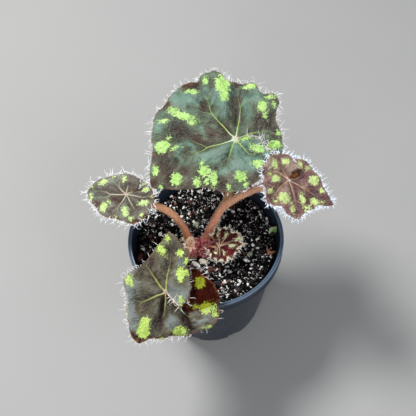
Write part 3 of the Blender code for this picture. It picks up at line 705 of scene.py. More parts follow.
@dataclass(frozen=True)
class LumpFinish:
    """Ground of two colours with grains and pits: stone, bark, perlite, soil."""

    name: str
    light: Colour
    dark: Colour
    size: float = 1.5
    relief: float = 0.3
    rough: float = 0.8
    shaded: bool = False
    shine: float = 0.4
    span: Pair = (0.2, 0.8)
    glow: float = 0.0

    def material(self) -> bpy.types.Material:
        """Mottled colour with fine pits. A shaded one also takes each crumb's own shade."""
        g = Graph(self.name)
        broad, fine, pits = g.grain(self.size, 3), g.grain(self.size * 0.3, 3), g.cells(self.size * 0.35)
        share = broad * 0.7 + fine * 0.5 - 0.1
        if self.shaded:
            share = share * 0.45 + g.value("shade") * 0.75
        colour = g.mix(self.dark, self.light, share.step(*self.span)) * (0.65 + 0.7 * fine)
        height = broad + fine * 0.6 + pits * 0.5
        # A glow above zero is painted light: the piece shines without a lamp.
        glow = {"Emission_Color": (*self.light, 1), "Emission_Strength": self.glow}
        rough = self.rough + (fine - 0.5) * 0.3
        return g.finish(colour, rough, height, self.relief, Specular_IOR_Level=self.shine, **glow)


@dataclass(frozen=True)
class PlasticFinish:
    """Thin moulded plastic, a little scuffed and dusty."""

    name: str
    colour: Colour
    lip: Colour
    dust: Colour

    def material(self) -> bpy.types.Material:
        """Satin plastic with faint mould rings, scuffs, a painted highlight along the lip, and dust near the
        rim and foot.
        """
        g = Graph(self.name)
        level = g.node("ShaderNodeSeparateXYZ", None, {0: g.place}, out=2)
        height = level / MM
        broad, fine = g.grain(14, 3), g.grain(1.2, 4)
        rings = g.node("ShaderNodeCombineXYZ", None, {2: level})
        lines = g.grain(0.9, 2, place=rings)
        stretched = g.node("ShaderNodeVectorMath", {"operation": "MULTIPLY"}, {0: g.place, 1: (1, 1, 0.12)})
        scuffs = g.grain(1.6, 3, place=stretched).step(0.62, 0.75)
        colour = g.mix(self.colour, tuple(c * 1.5 + 0.004 for c in self.colour), broad.step(0.35, 0.75) * 0.6)
        colour = g.mix(colour, tuple(c * 2.4 + 0.02 for c in self.colour), scuffs * 0.3)
        # Painted highlight: the lip's top is lighter, standing in for light reflected along it.
        colour = g.mix(colour, self.lip, (height + (fine - 0.5) * 1.2).step(84.6, 85.9) * 0.9)
        near_top = height.step(79, 86) * 0.2
        near_foot = height.step(9, 1) * 0.5
        speckle = (fine * 0.7 + broad * 0.4).step(0.5, 0.72)
        colour = g.mix(colour, self.dust, speckle * (near_top + near_foot))
        rough = 0.27 + scuffs * 0.2 + speckle * 0.15 + fine * 0.08
        return g.finish(colour, rough, lines * 0.5 + fine * 0.35 + broad * 0.5, 0.12, Specular_IOR_Level=0.42)


BRONZE = BladeFinish(
    name="bronze", slot=Slot.BRONZE, teal=(0.108, 0.202, 0.152), base=(0.082, 0.108, 0.064),
    brown=(0.078, 0.064, 0.044), dark=(0.046, 0.023, 0.010), rim=(0.19, 0.085, 0.045),
    lime=(0.26, 0.54, 0.06), lime_pale=(0.56, 0.80, 0.30), vein=(0.34, 0.48, 0.12), seat=(0.62, 0.68, 0.50),
    under=(0.24, 0.05, 0.04), hair=(0.86, 0.88, 0.88), seat_size=2.3,
)
SMOKE = BladeFinish(
    name="smoke", slot=Slot.BRONZE, teal=(0.136, 0.156, 0.148), base=(0.098, 0.088, 0.052),
    brown=(0.064, 0.046, 0.028), dark=(0.034, 0.0065, 0.0028), rim=(0.26, 0.11, 0.05),
    lime=(0.32, 0.50, 0.05), lime_pale=(0.58, 0.74, 0.20), vein=(0.38, 0.42, 0.10), seat=(0.52, 0.44, 0.28),
    under=(0.30, 0.06, 0.03), hair=(0.86, 0.86, 0.84), shine=0.34, seat_size=1.3, shadow=0.5,
)
OLIVE = BladeFinish(
    name="olive", slot=Slot.OLIVE, teal=(0.185, 0.215, 0.160), base=(0.142, 0.124, 0.098),
    brown=(0.105, 0.068, 0.054), dark=(0.054, 0.018, 0.013), rim=(0.20, 0.10, 0.03), lime=(0.42, 0.62, 0.14),
    lime_pale=(0.66, 0.84, 0.36), vein=(0.58, 0.56, 0.38), seat=(0.66, 0.52, 0.42), under=(0.28, 0.07, 0.05),
    hair=(0.90, 0.92, 0.94), ragged=0.8, soft=0.6, seat_size=0.9,
)
RED = BladeFinish(
    name="red", slot=Slot.RED, teal=(0.37, 0.27, 0.20), base=(0.180, 0.082, 0.078),
    brown=(0.105, 0.038, 0.045), dark=(0.12, 0.036, 0.016), rim=(0.40, 0.27, 0.17), lime=(0.42, 0.58, 0.14),
    lime_pale=(0.66, 0.80, 0.34), vein=(0.60, 0.36, 0.22), seat=(0.80, 0.62, 0.52), under=(0.30, 0.08, 0.05),
    hair=(0.80, 0.88, 0.98), ragged=0.8, soft=0.7, seat_size=0.9, rust=(0.46, 0.15, 0.025),
)
# Painted shade: a dark, dull copy of the smoke finish for the front blade's last lobe, which lies in the
# shadow of its first lobe.
SHADED = BladeFinish(
    name="shaded", slot=Slot.BRONZE, teal=(0.070, 0.020, 0.008), base=(0.056, 0.013, 0.005),
    brown=(0.050, 0.010, 0.004), dark=(0.036, 0.006, 0.003), rim=(0.24, 0.08, 0.03), lime=(0.20, 0.23, 0.012),
    lime_pale=(0.30, 0.34, 0.03), vein=(0.20, 0.14, 0.03), seat=(0.20, 0.10, 0.05), under=(0.24, 0.05, 0.03),
    hair=(0.8, 0.7, 0.6), shine=0.04, gloss=0.75,
)
YOUNG_RED = BladeFinish(
    name="young", slot=Slot.YOUNG, teal=(0.13, 0.030, 0.020), base=(0.090, 0.005, 0.011),
    brown=(0.055, 0.003, 0.008), dark=(0.022, 0.002, 0.005), rim=(0.56, 0.46, 0.26), lime=(0.56, 0.64, 0.24),
    lime_pale=(0.78, 0.80, 0.54), vein=(0.62, 0.42, 0.28), seat=(0.62, 0.46, 0.34), under=(0.32, 0.07, 0.05),
    hair=(0.90, 0.86, 0.74), ragged=0.6, soft=0.6, seat_size=0.8, net_and_sheen=0.1, shine=0.12, gloss=0.5,
)


@dataclass(frozen=True)
class Blade:
    """One leaf blade. Angles are in degrees from its tip and reaches from its seat, in its own plane."""

    name: str
    seat: Point
    lean: Pair
    heading: float
    margin: tuple[Pair, ...]
    veins: tuple[float, ...]
    cup: float
    twist: Pair
    lift: Pair
    ribs: tuple[tuple[Pair, ...], ...]
    blotches: tuple[tuple[float, ...], ...]
    tones: tuple[tuple[float, ...], ...]
    folds: tuple[tuple[float, ...], ...]
    finish: BladeFinish
    lash: Hair
    lash_gap: float
    rib_width: Pair = (0.55, 0.2)
    crumple: float = 0.5
    tooth: Pair = (2.4, 0.5)
    down: Hair = Hair((0.5, 1.0), 0.05, 0.6, 0.3, 2)
    down_density: float = 0.07
    bare_sinus: float = 0.97
    bare: tuple[tuple[float, ...], ...] = ()
    shaded: BladeFinish | None = None
    shaded_from: float = math.inf
    ridges: tuple[tuple[Pair, ...], ...] = ()

    @property
    def ends(self) -> Pair:
        """Angles at which the margin starts and stops."""
        return self.margin[0][0], self.margin[-1][0]

    @property
    def longest(self) -> float:
        """Reach of the margin's farthest point."""
        return max(row[1] for row in self.margin)

    @property
    def usual(self) -> float:
        """Mean reach of the margin's points."""
        return np.mean([row[1] for row in self.margin])

    def place(self) -> Matrix:
        """The matrix that takes the blade's own frame, tip along X, to its place."""
        up = Vector((*self.lean, 1)).normalized()
        turn = math.radians(self.heading)
        flat = Vector((math.cos(turn), math.sin(turn), 0))
        tip = Vector((flat.x, flat.y, -(flat.x * up.x + flat.y * up.y) / up.z)).normalized()
        matrix = Matrix((tip, up.cross(tip), up)).transposed().to_4x4()
        matrix.translation = Vector(self.seat)
        return matrix

    def reach(self, angles: np.ndarray) -> np.ndarray:
        """Reach of the margin at each angle, by a smooth curve through the outline's points."""
        marks, reaches = np.array(self.margin, float).T
        index = np.clip(np.searchsorted(marks, angles) - 1, 0, len(marks) - 2)
        before, after = np.maximum(index - 1, 0), np.minimum(index + 2, len(marks) - 1)
        low, high, start, end = marks[index], marks[index + 1], reaches[index], reaches[index + 1]
        leave = (end - reaches[before]) / (high - marks[before]) * (high - low)
        arrive = (reaches[after] - start) / (marks[after] - low) * (high - low)
        return hermite(start, end, leave, arrive, (angles - low) / (high - low))

    def teeth(self, angles: np.ndarray) -> np.ndarray:
        """How far the margin's small uneven teeth stand out at each angle."""
        gap, depth = self.tooth
        run = np.radians(angles) * self.usual / gap
        drift = noise_at(np.column_stack([run * 0.6, run * 0, run * 0]), 1.0, self.seat[1])
        points = (1 - 2 * np.abs((run + drift * 0.8) % 1 - 0.5)) ** 1.6
        return depth * (points - 0.4 + 0.7 * drift)

    def side_ribs(self) -> list[tuple[Pair, Pair]]:
        """Short side veins that leave each main vein in turn, as start and end in polar form."""
        made = []
        for line in self.ribs:
            if line[0][1] > BRANCH_START:
                continue
            path = curve_through(np.array([flat_point(*mark) for mark in line]), 30)
            for index in range(8, 29, 5):
                ahead = unit(path[index + 1] - path[index - 1])
                for side in (-1, 1):
                    turn = math.radians(48 * side + 6 * math.sin(index + line[0][0]))
                    way = np.array([
                        ahead[0] * math.cos(turn) - ahead[1] * math.sin(turn),
                        ahead[0] * math.sin(turn) + ahead[1] * math.cos(turn),
                    ])
                    start = path[index] if side > 0 else (path[index] + path[index + 1]) / 2
                    end = start + way * np.hypot(*start) * 0.36
                    made.append(tuple(self.polar(spot, line[-1][0]) for spot in (start, end)))
        return made

    @staticmethod
    def polar(spot: np.ndarray, guide: float) -> Pair:
        """Angle, near the guide, and reach of a place."""
        angle = math.degrees(math.atan2(spot[1], spot[0]))
        return angle + 360 * round((guide - angle) / 360), float(np.hypot(*spot))

    def dome(self, angles: np.ndarray, outs: np.ndarray) -> np.ndarray:
        """How far the blade bulges up between two of its main veins."""
        first, last = self.ends
        stops = np.array((first, *self.veins, last), float)
        index = np.clip(np.searchsorted(stops, angles) - 1, 0, len(stops) - 2)
        low, high = stops[index], stops[index + 1]
        width = np.radians(high - low) * self.reach((low + high) / 2)
        bulge = np.sin(math.pi * np.clip((angles - low) / (high - low), 0, 1)) ** 0.8
        return np.minimum(width, DOME_SPAN) * DOME_SHARE * bulge * outs * (1.7 - 1.3 * outs)

    def turned(self, angles: np.ndarray, outs: np.ndarray) -> np.ndarray:
        """Angle in the plane for each angle along the margin: the end lobes turn in towards the seat."""
        first, last = self.ends
        share = (angles - first) / (last - first)
        return angles + (self.twist[0] * (1 - share) ** 3 - self.twist[1] * share**3) * (1 - outs)

    def near(self, turns: np.ndarray, spots: np.ndarray, angle: float,
             reach: float) -> tuple[np.ndarray, np.ndarray]:
        """Where points lie from a marked place.

        Args:
            turns: The points' angles, which run on past a full turn where lobes overlap.
            spots: The points' x and y.
            angle: The place's angle.
            reach: The place's reach.

        Returns:
            Offsets in x and y, and whether each point is on the place's own lobe.
        """
        first, last = self.ends
        same = np.ones(len(turns), bool) if last - first <= 360 else np.abs(turns - angle) < 180
        return spots - flat_point(angle, reach), same

    def to_line(self, turns: np.ndarray, spots: np.ndarray, start: Pair, end: Pair) -> np.ndarray:
        """Distance of each point from a straight line between two marked places."""
        offsets, same = self.near(turns, spots, *start)
        line = np.subtract(flat_point(*end), flat_point(*start))
        share = np.clip(offsets @ line / max(line @ line, 1e-6), 0, 1)
        return np.where(same, np.linalg.norm(offsets - share[:, None] * line, axis=1), FAR)

    def to_nearest(self, turns: np.ndarray, spots: np.ndarray, pieces: list[tuple[Pair, Pair]]) -> np.ndarray:
        """Distance of each point from the nearest of some straight lines between marked places."""
        nearest = np.full(len(turns), FAR)
        for start, end in pieces:
            nearest = np.minimum(nearest, self.to_line(turns, spots, start, end))
        return nearest

    def ellipse(self, turns: np.ndarray, spots: np.ndarray,
                mark: tuple[float, ...]) -> tuple[np.ndarray, np.ndarray]:
        """How many radii each point is from the middle of a marked ellipse, and whether it is on its lobe."""
        angle, reach, long, wide, turn = mark[:5]
        offsets, same = self.near(turns, spots, angle, reach)
        cos, sin = math.cos(math.radians(turn)), math.sin(math.radians(turn))
        u = (offsets[:, 0] * cos + offsets[:, 1] * sin) / long
        v = (offsets[:, 1] * cos - offsets[:, 0] * sin) / wide
        return np.hypot(u, v), same

    def surface(self, angles: np.ndarray, outs: np.ndarray) -> tuple[np.ndarray, dict[str, np.ndarray]]:
        """The upper face.

        Args:
            angles: Angle along the margin for each point.
            outs: Share of the way out, 0 at the seat to 1 at the margin.

        Returns:
            The points, and what they carry: distance from veins, margin and seat, blotches, tone and relief.
        """
        first, last = self.ends
        share = (angles - first) / (last - first)
        margin = self.reach(angles)
        reach = margin * outs
        turns = self.turned(angles, outs)
        spots = np.stack([reach * np.cos(np.radians(turns)), reach * np.sin(np.radians(turns))], 1)
        flat = np.column_stack([spots, share * 9])
        ribs = self.to_nearest(turns, spots, [pair for line in self.ribs for pair in zip(line, line[1:])])
        folds = np.zeros(len(angles))
        for a, r, b, s, width, height in self.folds:
            folds += height * np.exp(-((self.to_line(turns, spots, (a, r), (b, s)) / width) ** 2))
        side = self.to_nearest(turns, spots, self.side_ribs())
        dome = self.dome(angles, outs)
        free = np.clip(reach / 6, 0, 1) ** 2
        waves = noise_at(flat, 0.13, self.seat[0]) * 1.3 + noise_at(flat, 0.33, self.seat[1]) * 0.5
        waves = waves * self.crumple * free + noise_at(flat, 0.8, 5) * 0.15 * free
        rise = self.cup * (reach / self.longest) ** 2 + dome + folds * np.clip(reach / 4, 0, 1)
        rise += (self.lift[0] * (1 - share) ** 2 + self.lift[1] * share**2) * outs**0.75
        rise += 0.5 * np.sin(np.radians(angles) * 9 + self.seat[0]) * outs**4
        rise -= 0.42 * np.exp(-((side / 0.85) ** 2)) * free
        rim = 0.5 * np.clip((outs - 0.9) / 0.1, 0, 1) ** 2
        rise += waves - 0.45 * np.exp(-((ribs / 1.4) ** 2)) * free - rim
        seat = np.hypot(*spots.T)
        rise += 0.7 * np.exp(-((seat / 1.9) ** 4))
        blotch = np.full(len(angles), -9.0)
        for mark in self.blotches:
            radii, same = self.ellipse(turns, spots, mark)
            blotch = np.where(same, np.maximum(blotch, (1 - radii) * min(mark[2], mark[3]) * 1.15), blotch)
        # Tone marks hold the blade's own patches of colour and painted light: strong negative ones paint
        # highlights and sheen, narrow strong positive ones paint the shade of creases.
        tone = np.zeros(len(angles))
        for mark in self.tones:
            radii, same = self.ellipse(turns, spots, mark)
            strong = np.where(same, mark[5] * np.exp(-1.1 * radii**3), 0)
            tone = np.where(strong < 2.6, np.minimum(tone + strong, np.maximum(tone, 2.4)), strong)
        edge = np.minimum(margin - reach, reach * np.radians(np.minimum(angles - first, last - angles)))
        # A relief measure for the colour: painted shade in hollows and creases, painted sheen on crests.
        hollow = waves * 1.4 + folds * 1.4
        hollow = hollow - 1.2 * np.exp(-((side / 0.9) ** 2)) - 0.8 * np.exp(-((ribs / 1.8) ** 2))
        values = {"spot": blotch, "tone": tone, "edge": edge, "vein": ribs, "seat": seat}
        values |= {"rise": hollow, "ray": turns}
        return np.column_stack([spots, rise]), values

    def on_blade(self, line: np.ndarray, guide: np.ndarray) -> np.ndarray:
        """Points of the upper face over x and y positions whose angles are near the guide's."""
        turns = np.degrees(np.arctan2(line[:, 1], line[:, 0]))
        turns += 360 * np.round((guide - turns) / 360)
        reaches = np.hypot(*line.T)
        angles = turns.copy()
        for _ in range(12):
            angles = np.clip(angles, *self.ends)
            outs = np.clip(reaches / self.reach(angles), 0, 1)
            angles = angles + (turns - self.turned(angles, outs)) * 0.8
        angles = np.clip(angles, *self.ends)
        return self.surface(angles, np.clip(reaches / self.reach(angles), 0, 1))[0]

    def build(self) -> bpy.types.Object:
        """The blade with its veins and the hairs of its margin."""
        shape = Shape()
        draw = np.random.default_rng(len(self.margin) * 7 + len(self.blotches))
        self.add_faces(shape, draw)
        self.add_ribs(shape)
        self.add_ridges(shape, draw)
        finish = self.finish
        materials = [finish.upper(), finish.lower(), finish.ribs(), finish.hairs()]
        if self.shaded:
            materials.append(self.shaded.upper())
        return shape.make("blade_" + self.name, materials, ("leaf_" + self.name,), self.place())

    def add_faces(self, shape: Shape, draw: np.random.Generator) -> None:
        """Add the thin blade, about a millimetre a face, and its lashes."""
        first, last = self.ends
        around = np.radians(last - first) * self.usual
        columns = round(around / 0.8)
        rings = round(self.longest / 0.85)
        across = np.linspace(first, last, columns + 1)
        out = np.linspace(0, 1, rings + 1)[1:] ** 0.9
        angles, outs = (grid.ravel() for grid in np.meshgrid(across, out, indexing="ij"))
        top, values = self.surface(angles, outs)
        teeth = np.repeat(self.teeth(across), rings)
        top[:, :2] += unit(top[:, :2]) * (teeth * outs**7)[:, None]
        grid = top.reshape(columns + 1, rings, 3)
        up = unit(np.cross(np.gradient(grid, axis=1), np.gradient(grid, axis=0))).reshape(-1, 3)
        thick = BLADE_THICKNESS * (1 - 0.45 * outs**6)
        centre = np.array([[0, 0, top[:: rings, 2].mean()]])
        edge_in = unit(top * (1, 1, 0))
        margin = np.arange(columns + 1) * rings + rings - 1
        middle = top[margin] - up[margin] * thick[margin, None] / 2 + edge_in[margin] * 0.18
        upper = np.vstack([top, centre, middle])
        lower = np.vstack([top - up * thick[:, None], centre - (0, 0, 0.9), middle])
        both = {
            key: np.concatenate([row, [row[::rings].mean()], row[margin]]) for key, row in values.items()
        }
        faces, under = self.faces(columns, rings)
        skin = np.where(across[1:] > self.shaded_from, Layer.SHADED, Layer.UPPER)
        shape.add(upper, faces, np.repeat(skin, rings + 1), **both)
        shape.add(lower, under, Layer.LOWER, **both)
        self.add_lashes(shape, grid, draw)
        area = around * self.longest / 2
        picks = draw.integers(0, len(top), round(area * self.down_density))
        picks = picks[draw.random(len(picks)) < outs[picks]]
        ways = up[picks] + draw.normal(0, 0.45, (len(picks), 3))
        self.down.grow(shape, top[picks] - up[picks] * 0.08, ways, draw, Layer.HAIR)

    @staticmethod
    def faces(columns: int, rings: int) -> tuple[list, list]:
        """Faces of the upper half and the lower half of a blade, which meet along the middle of its edge."""
        faces = []
        centre = (columns + 1) * rings
        for column in range(columns):
            low, high = column * rings, (column + 1) * rings
            faces.append([centre, low, high])
            faces += [[low + k, low + k + 1, high + k + 1, high + k] for k in range(rings - 1)]
            edge = centre + 1 + column
            faces.append([low + rings - 1, edge, edge + 1, high + rings - 1])
        return faces, [face[::-1] for face in faces]

    def add_lashes(self, shape: Shape, grid: np.ndarray, draw: np.random.Generator) -> None:
        """Add the hairs along the margin and along both edges of the sinus."""
        start = round(grid.shape[1] * self.bare_sinus)
        path = np.vstack([grid[0, start:-1], grid[:, -1], grid[-1, start:-1][::-1]])
        first, last = self.ends
        inner = grid.shape[1] - 1 - start
        angles = np.concatenate([[first] * inner, np.linspace(first, last, len(grid)), [last] * inner])
        ahead = unit(np.gradient(path, axis=0))
        outward = unit(np.cross(ahead, (0, 0, 1)))
        run = np.concatenate([[0], np.cumsum(np.linalg.norm(np.diff(path, axis=0), axis=1))])
        marks = np.arange(0.4, run[-1], self.lash_gap)
        marks = np.clip(marks + draw.normal(0, self.lash_gap * 0.45, len(marks)), 0, run[-1])
        share = 0.72 + 0.8 * noise_at(np.column_stack([marks, marks * 0, marks * 0]), 0.3, self.seat[0])
        turns = np.interp(marks, run, angles)
        for low, high, left in self.bare:
            share = np.where((turns > low) & (turns < high), left, share)
        marks = marks[draw.random(len(marks)) < share]
        roots, ways, tangents = (
            np.stack([np.interp(marks, run, rows[:, k]) for k in range(3)], 1)
            for rows in (path, outward, ahead)
        )
        ways = unit(ways) + tangents * draw.normal(0, 0.35, (len(marks), 1))
        ways += np.array([0, 0, 1]) * draw.normal(0.12, 0.35, (len(marks), 1))
        roots -= unit(ways) * 0.3 + np.array([0, 0, 0.25])
        self.lash.grow(shape, roots, ways, draw, Layer.HAIR)

    def trace(self, marks: list[Pair]) -> np.ndarray:
        """Points of the upper face along a smooth line through marked places."""
        corners = np.array([flat_point(*mark) for mark in marks])
        length = np.linalg.norm(np.diff(corners, axis=0), axis=1).sum()
        count = max(6, round(length / 0.9))
        guide = np.interp(np.linspace(0, 1, count), np.linspace(0, 1, len(marks)), [a for a, _ in marks])
        return self.on_blade(curve_through(corners, count), guide)

    def add_ridges(self, shape: Shape, draw: np.random.Generator) -> None:
        """Add the pale raised edges where one lobe lies on another, with hairs along them."""
        for line in self.ridges:
            points = self.trace(list(line)) + (0, 0, 0.15)
            share = np.linspace(0, 1, len(points))
            radii = 0.30 + 0.10 * np.sin(share * 17)
            shape.tube(points, radii, 6, Layer.HAIR, along=0.04 + 0.14 * np.sin(share * 9) ** 2)
            picks = draw.integers(len(points) // 2, len(points), len(points) // 3)
            ways = draw.normal(0, 0.8, (len(picks), 3)) * (1, 1, 0.5) + (0.2, -0.3, 0.6)
            self.lash.grow(shape, points[picks], ways, draw, Layer.HAIR)

    def add_ribs(self, shape: Shape) -> None:
        """Add the veins: thin rounded cords on the upper face, stouter ones below."""
        wide, thin = self.rib_width
        for line in self.ribs:
            branch = line[0][1] > BRANCH_START
            points = self.trace(list(line) if branch else [(line[1][0], 0.5), *line[1:]])
            along = np.linspace(0.45 if branch else 0, 1, len(points))
            radii = (wide * 0.7 if branch else wide) * (1 - along) + thin * along
            radii = np.maximum(radii, 0.09) * np.where(along < 0.06, 1.5, 1.0)
            shape.tube(points + np.outer(radii * -0.35, (0, 0, 1)), radii, 6, Layer.VEIN, along=along)
            below = points - np.outer(BLADE_THICKNESS + radii * 0.2, (0, 0, 1))
            shape.tube(below, radii * 1.3, 6, Layer.VEIN, along=along)


@dataclass(frozen=True)
class Stalk:
    """One petiole with its coat of short hairs."""

    name: str
    line: tuple[Point, ...]
    radii: Pair
    blade: Blade
    finish: StalkFinish
    coat: Hair = Hair((0.6, 1.5), 0.08, 0.5, 0.3, 3)
    coat_density: float = 0.8
    rings: int = 90
    sides: int = 22

    def path(self) -> np.ndarray:
        """Points from the crown up into the blade's underside."""
        up = np.array(self.blade.place().col[2][:3])
        end = np.array(self.blade.seat) - up * BLADE_THICKNESS
        return curve_through(np.array([*self.line, end - up * self.radii[1] * 1.6, end]), self.rings)

    def build(self) -> bpy.types.Object:
        """The stalk: a slightly ribbed, knobby tube that flares under the blade."""
        shape = Shape()
        draw = np.random.default_rng(round(self.radii[0] * 100 + len(self.name)))
        line = self.path()
        along = np.linspace(0, 1, len(line))
        left = 1 - along
        radii = self.radii[0] * left + self.radii[1] * along
        radii = radii * (1 + 0.25 * np.exp(-((left / 0.06) ** 2)) - 0.6 * np.exp(-((left / 0.02) ** 2)))
        radii = radii * (1 + 0.12 * np.exp(-((along / 0.06) ** 2)))
        radii = radii * (1 + 0.05 * noise_at(line, 0.35) + 0.03 * noise_at(line, 0.9))
        shape.tube(line, radii, self.sides, along=along)
        points, middles = shape.points[0], np.repeat(line, self.sides, axis=0)
        ribbed = points + unit(points - middles) * (noise_at(points, 1.1, 3.0) * 0.12)[:, None]
        shape.points[0] = ribbed
        run = np.linalg.norm(np.diff(line, axis=0), axis=1).sum()
        count = round(run * math.tau * self.radii[0] * self.coat_density)
        picks = draw.integers(self.sides, len(ribbed), count)
        ways = unit(ribbed - middles)[picks] + draw.normal(0, 0.3, (count, 3)) + (0, 0, 0.25)
        self.coat.grow(shape, ribbed[picks] - unit(ways) * 0.1, ways, draw, finish=1)
        hairs = HairFinish(self.name + "_hairs", (0.84, 0.64, 0.50), self.finish.middle).material()
        materials = [self.finish.material(), hairs]
        return shape.make("stalk_" + self.name, materials, ("petiole_" + self.name,))


@dataclass(frozen=True)
class Scale:
    """A papery pointed scale, with hairs along its edges."""

    line: tuple[Point, ...]
    widths: tuple[float, ...]
    face: Point
    thick: float = 0.5

    @classmethod
    def leaning(cls, foot: Point, turn: float, lean: float, length: float, width: float) -> "Scale":
        """A scale that stands at its foot, turned about Z and leaning out by some degrees."""
        out = Vector((math.cos(math.radians(turn)), math.sin(math.radians(turn)), 0))
        slope = math.radians(lean)
        base = Vector(foot)
        middle = base + (out * math.sin(slope * 1.3) + Vector((0, 0, math.cos(slope * 1.3)))) * length * 0.5
        tip = base + (out * math.sin(slope) + Vector((0, 0, math.cos(slope)))) * length
        return cls((tuple(base), tuple(middle), tuple(tip)), (width * 0.42, width * 0.5, 0.15), tuple(out))

    def add(self, shape: Shape, coat: Hair, draw: np.random.Generator, count: int) -> None:
        """Add the scale with a number of hairs."""
        rings, sides = 14, 16
        line = curve_through(np.array(self.line), rings)
        ahead, side, face = strip_frame(line, self.face)
        share = np.linspace(0, 1, rings)
        wide = np.interp(share, np.linspace(0, 1, len(self.widths)), self.widths)
        wide = wide * (1 + 0.10 * np.sin(share * 23 + self.line[0][0]))
        turn = ring_angles(sides)
        across, depth = np.cos(turn), np.sin(turn)
        bow = (1 - across**2) * 0.35
        rise = depth[None] * (self.thick * (1 - 0.6 * share))[:, None] + bow[None] * wide[:, None]
        flat = strip_rings(line, side, face, across[None] * wide[:, None], rise).reshape(-1, 3)
        along = np.repeat(share, sides)
        shape.add(flat, tube_faces(rings, sides), 0, along=along)
        picks = draw.integers(2 * sides, rings * sides, count)
        outward = unit(flat - np.repeat(line, sides, axis=0))
        ways = np.repeat(ahead, sides, axis=0)[picks] * 0.8 + outward[picks]
        coat.grow(shape, flat[picks], ways + draw.normal(0, 0.25, (count, 3)), draw, finish=1)


@dataclass(frozen=True)
class Crown:
    """The creeping rhizome with its knobs, roots and red scales, and the large tan scale beside it."""

    knobs: tuple[tuple[Point, Point], ...] = (
        ((-10.4, 1.4, 76.6), (4.9, 4.6, 4.8)), ((-5.8, -0.6, 76.8), (5.2, 4.6, 4.9)),
        ((-0.4, 0.2, 76.4), (5.0, 4.4, 4.8)), ((3.6, 4.6, 76.2), (4.4, 4.4, 4.8)),
        ((-5.6, -6.0, 76.8), (4.8, 4.8, 4.6)), ((0.4, -4.6, 76.6), (4.4, 4.0, 4.4)),
    )
    roots: tuple[tuple[Point, ...], ...] = (
        ((-10.0, 2.0, 74.0), (-17.0, 6.0, 62.0), (-24.0, 8.0, 44.0)),
        ((-6.0, -2.0, 74.0), (-11.0, -12.0, 60.0), (-13.0, -22.0, 38.0)),
        ((-0.5, 0.5, 74.0), (2.0, 3.0, 56.0), (-4.0, 9.0, 34.0)),
        ((3.4, 4.6, 74.0), (13.0, 11.0, 60.0), (20.0, 16.0, 40.0)),
        ((0.6, -4.4, 74.0), (10.0, -10.0, 62.0), (16.0, -19.0, 46.0)),
    )
    scales: tuple[tuple, ...] = (
        ((-7.4, -4.2, 79.6), 250.0, 34.0, 8.0, 4.2), ((-3.0, -6.4, 80.2), 285.0, 22.0, 8.5, 4.4),
        ((-1.6, -4.2, 80.0), 20.0, 30.0, 6.0, 3.6), ((-5.0, -5.4, 80.2), 150.0, 20.0, 6.5, 3.4),
        ((-8.0, -7.6, 79.2), 215.0, 46.0, 7.5, 4.0), ((2.2, -2.4, 79.6), 340.0, 44.0, 7.5, 3.8),
        ((-1.0, -8.0, 79.0), 300.0, 52.0, 7.0, 3.6),
    )
    small_scales: int = 64
    tan_line: tuple[Point, ...] = ((-11.9, -5.6, 79.0), (-11.0, -4.4, 83.0), (-9.2, -1.6, 87.4))
    tan_widths: tuple[float, ...] = (1.6, 2.7, 2.4, 0.5)
    coat: Hair = Hair((1.0, 2.3), 0.09, 0.7, 0.6, 4)
    tan_coat: Hair = Hair((1.0, 2.6), 0.15, 0.9, 0.9, 5)

    def build(self) -> list[bpy.types.Object]:
        """Both pieces."""
        return [self.build_rhizome(), self.build_tan_scale()]

    def build_rhizome(self) -> bpy.types.Object:
        """Knobs, roots and red scales as one grown piece."""
        shape = Shape()
        draw = np.random.default_rng(21)
        for centre, radii in self.knobs:
            add_lump(shape, centre, radii, 0.0, 3, 0.14, along=0.15)
        for line in self.roots:
            path = curve_through(np.array(line), 16)
            shape.tube(path, np.linspace(1.1, 0.4, 16), 8, finish=2)
        for foot, turn, lean, length, width in self.scales:
            Scale.leaning(foot, turn, lean, length, width).add(shape, self.coat, draw, 30)
        for _ in range(self.small_scales):
            x, y = draw.normal((-3.6, -5.0), (3.0, 2.3))
            foot = (x, y, 80.2 - 0.05 * (x + 3.5) ** 2 - 0.07 * (y + 5) ** 2)
            turn = math.degrees(math.atan2(y + 5.1, x + 4.0)) + draw.normal(0, 40)
            lean, length, width = draw.uniform(10, 60), draw.uniform(3.0, 5.5), draw.uniform(0.9, 1.8)
            Scale.leaning(foot, turn, lean, length, width).add(shape, self.coat, draw, 12)
        red = StalkFinish("crown", (0.16, 0.004, 0.008), (0.32, 0.008, 0.016), (0.46, 0.04, 0.05))
        brown = LumpFinish("root", (0.30, 0.19, 0.11), (0.12, 0.06, 0.03))
        hairs = HairFinish("crown_hairs", (0.95, 0.50, 0.50), (0.50, 0.02, 0.03))
        materials = [red.material(), hairs.material(), brown.material()]
        return shape.make("crown", materials, ("rhizome",))

    def build_tan_scale(self) -> bpy.types.Object:
        """The pale hairy scale round the left stalk's foot, with two smaller ones beside it."""
        shape = Shape()
        draw = np.random.default_rng(22)
        Scale(self.tan_line, self.tan_widths, (-0.3, -0.95, 0), 0.6).add(shape, self.tan_coat, draw, 380)
        beside = ((-12.6, -1.0, 79.4), 200.0, 12.0, 8.5, 3.6), ((-9.2, -4.4, 79.6), 265.0, 30.0, 5.5, 3.0)
        for foot, turn, lean, length, width in beside:
            Scale.leaning(foot, turn, lean, length, width).add(shape, self.tan_coat, draw, 60)
        tan = StalkFinish("tan_scale", (0.36, 0.11, 0.05), (0.44, 0.18, 0.08), (0.56, 0.30, 0.15))
        hairs = HairFinish("tan_hairs", (0.95, 0.80, 0.56), (0.52, 0.22, 0.09))
        return shape.make("tan_scale", [tan.material(), hairs.material()], ("stipule_left",))


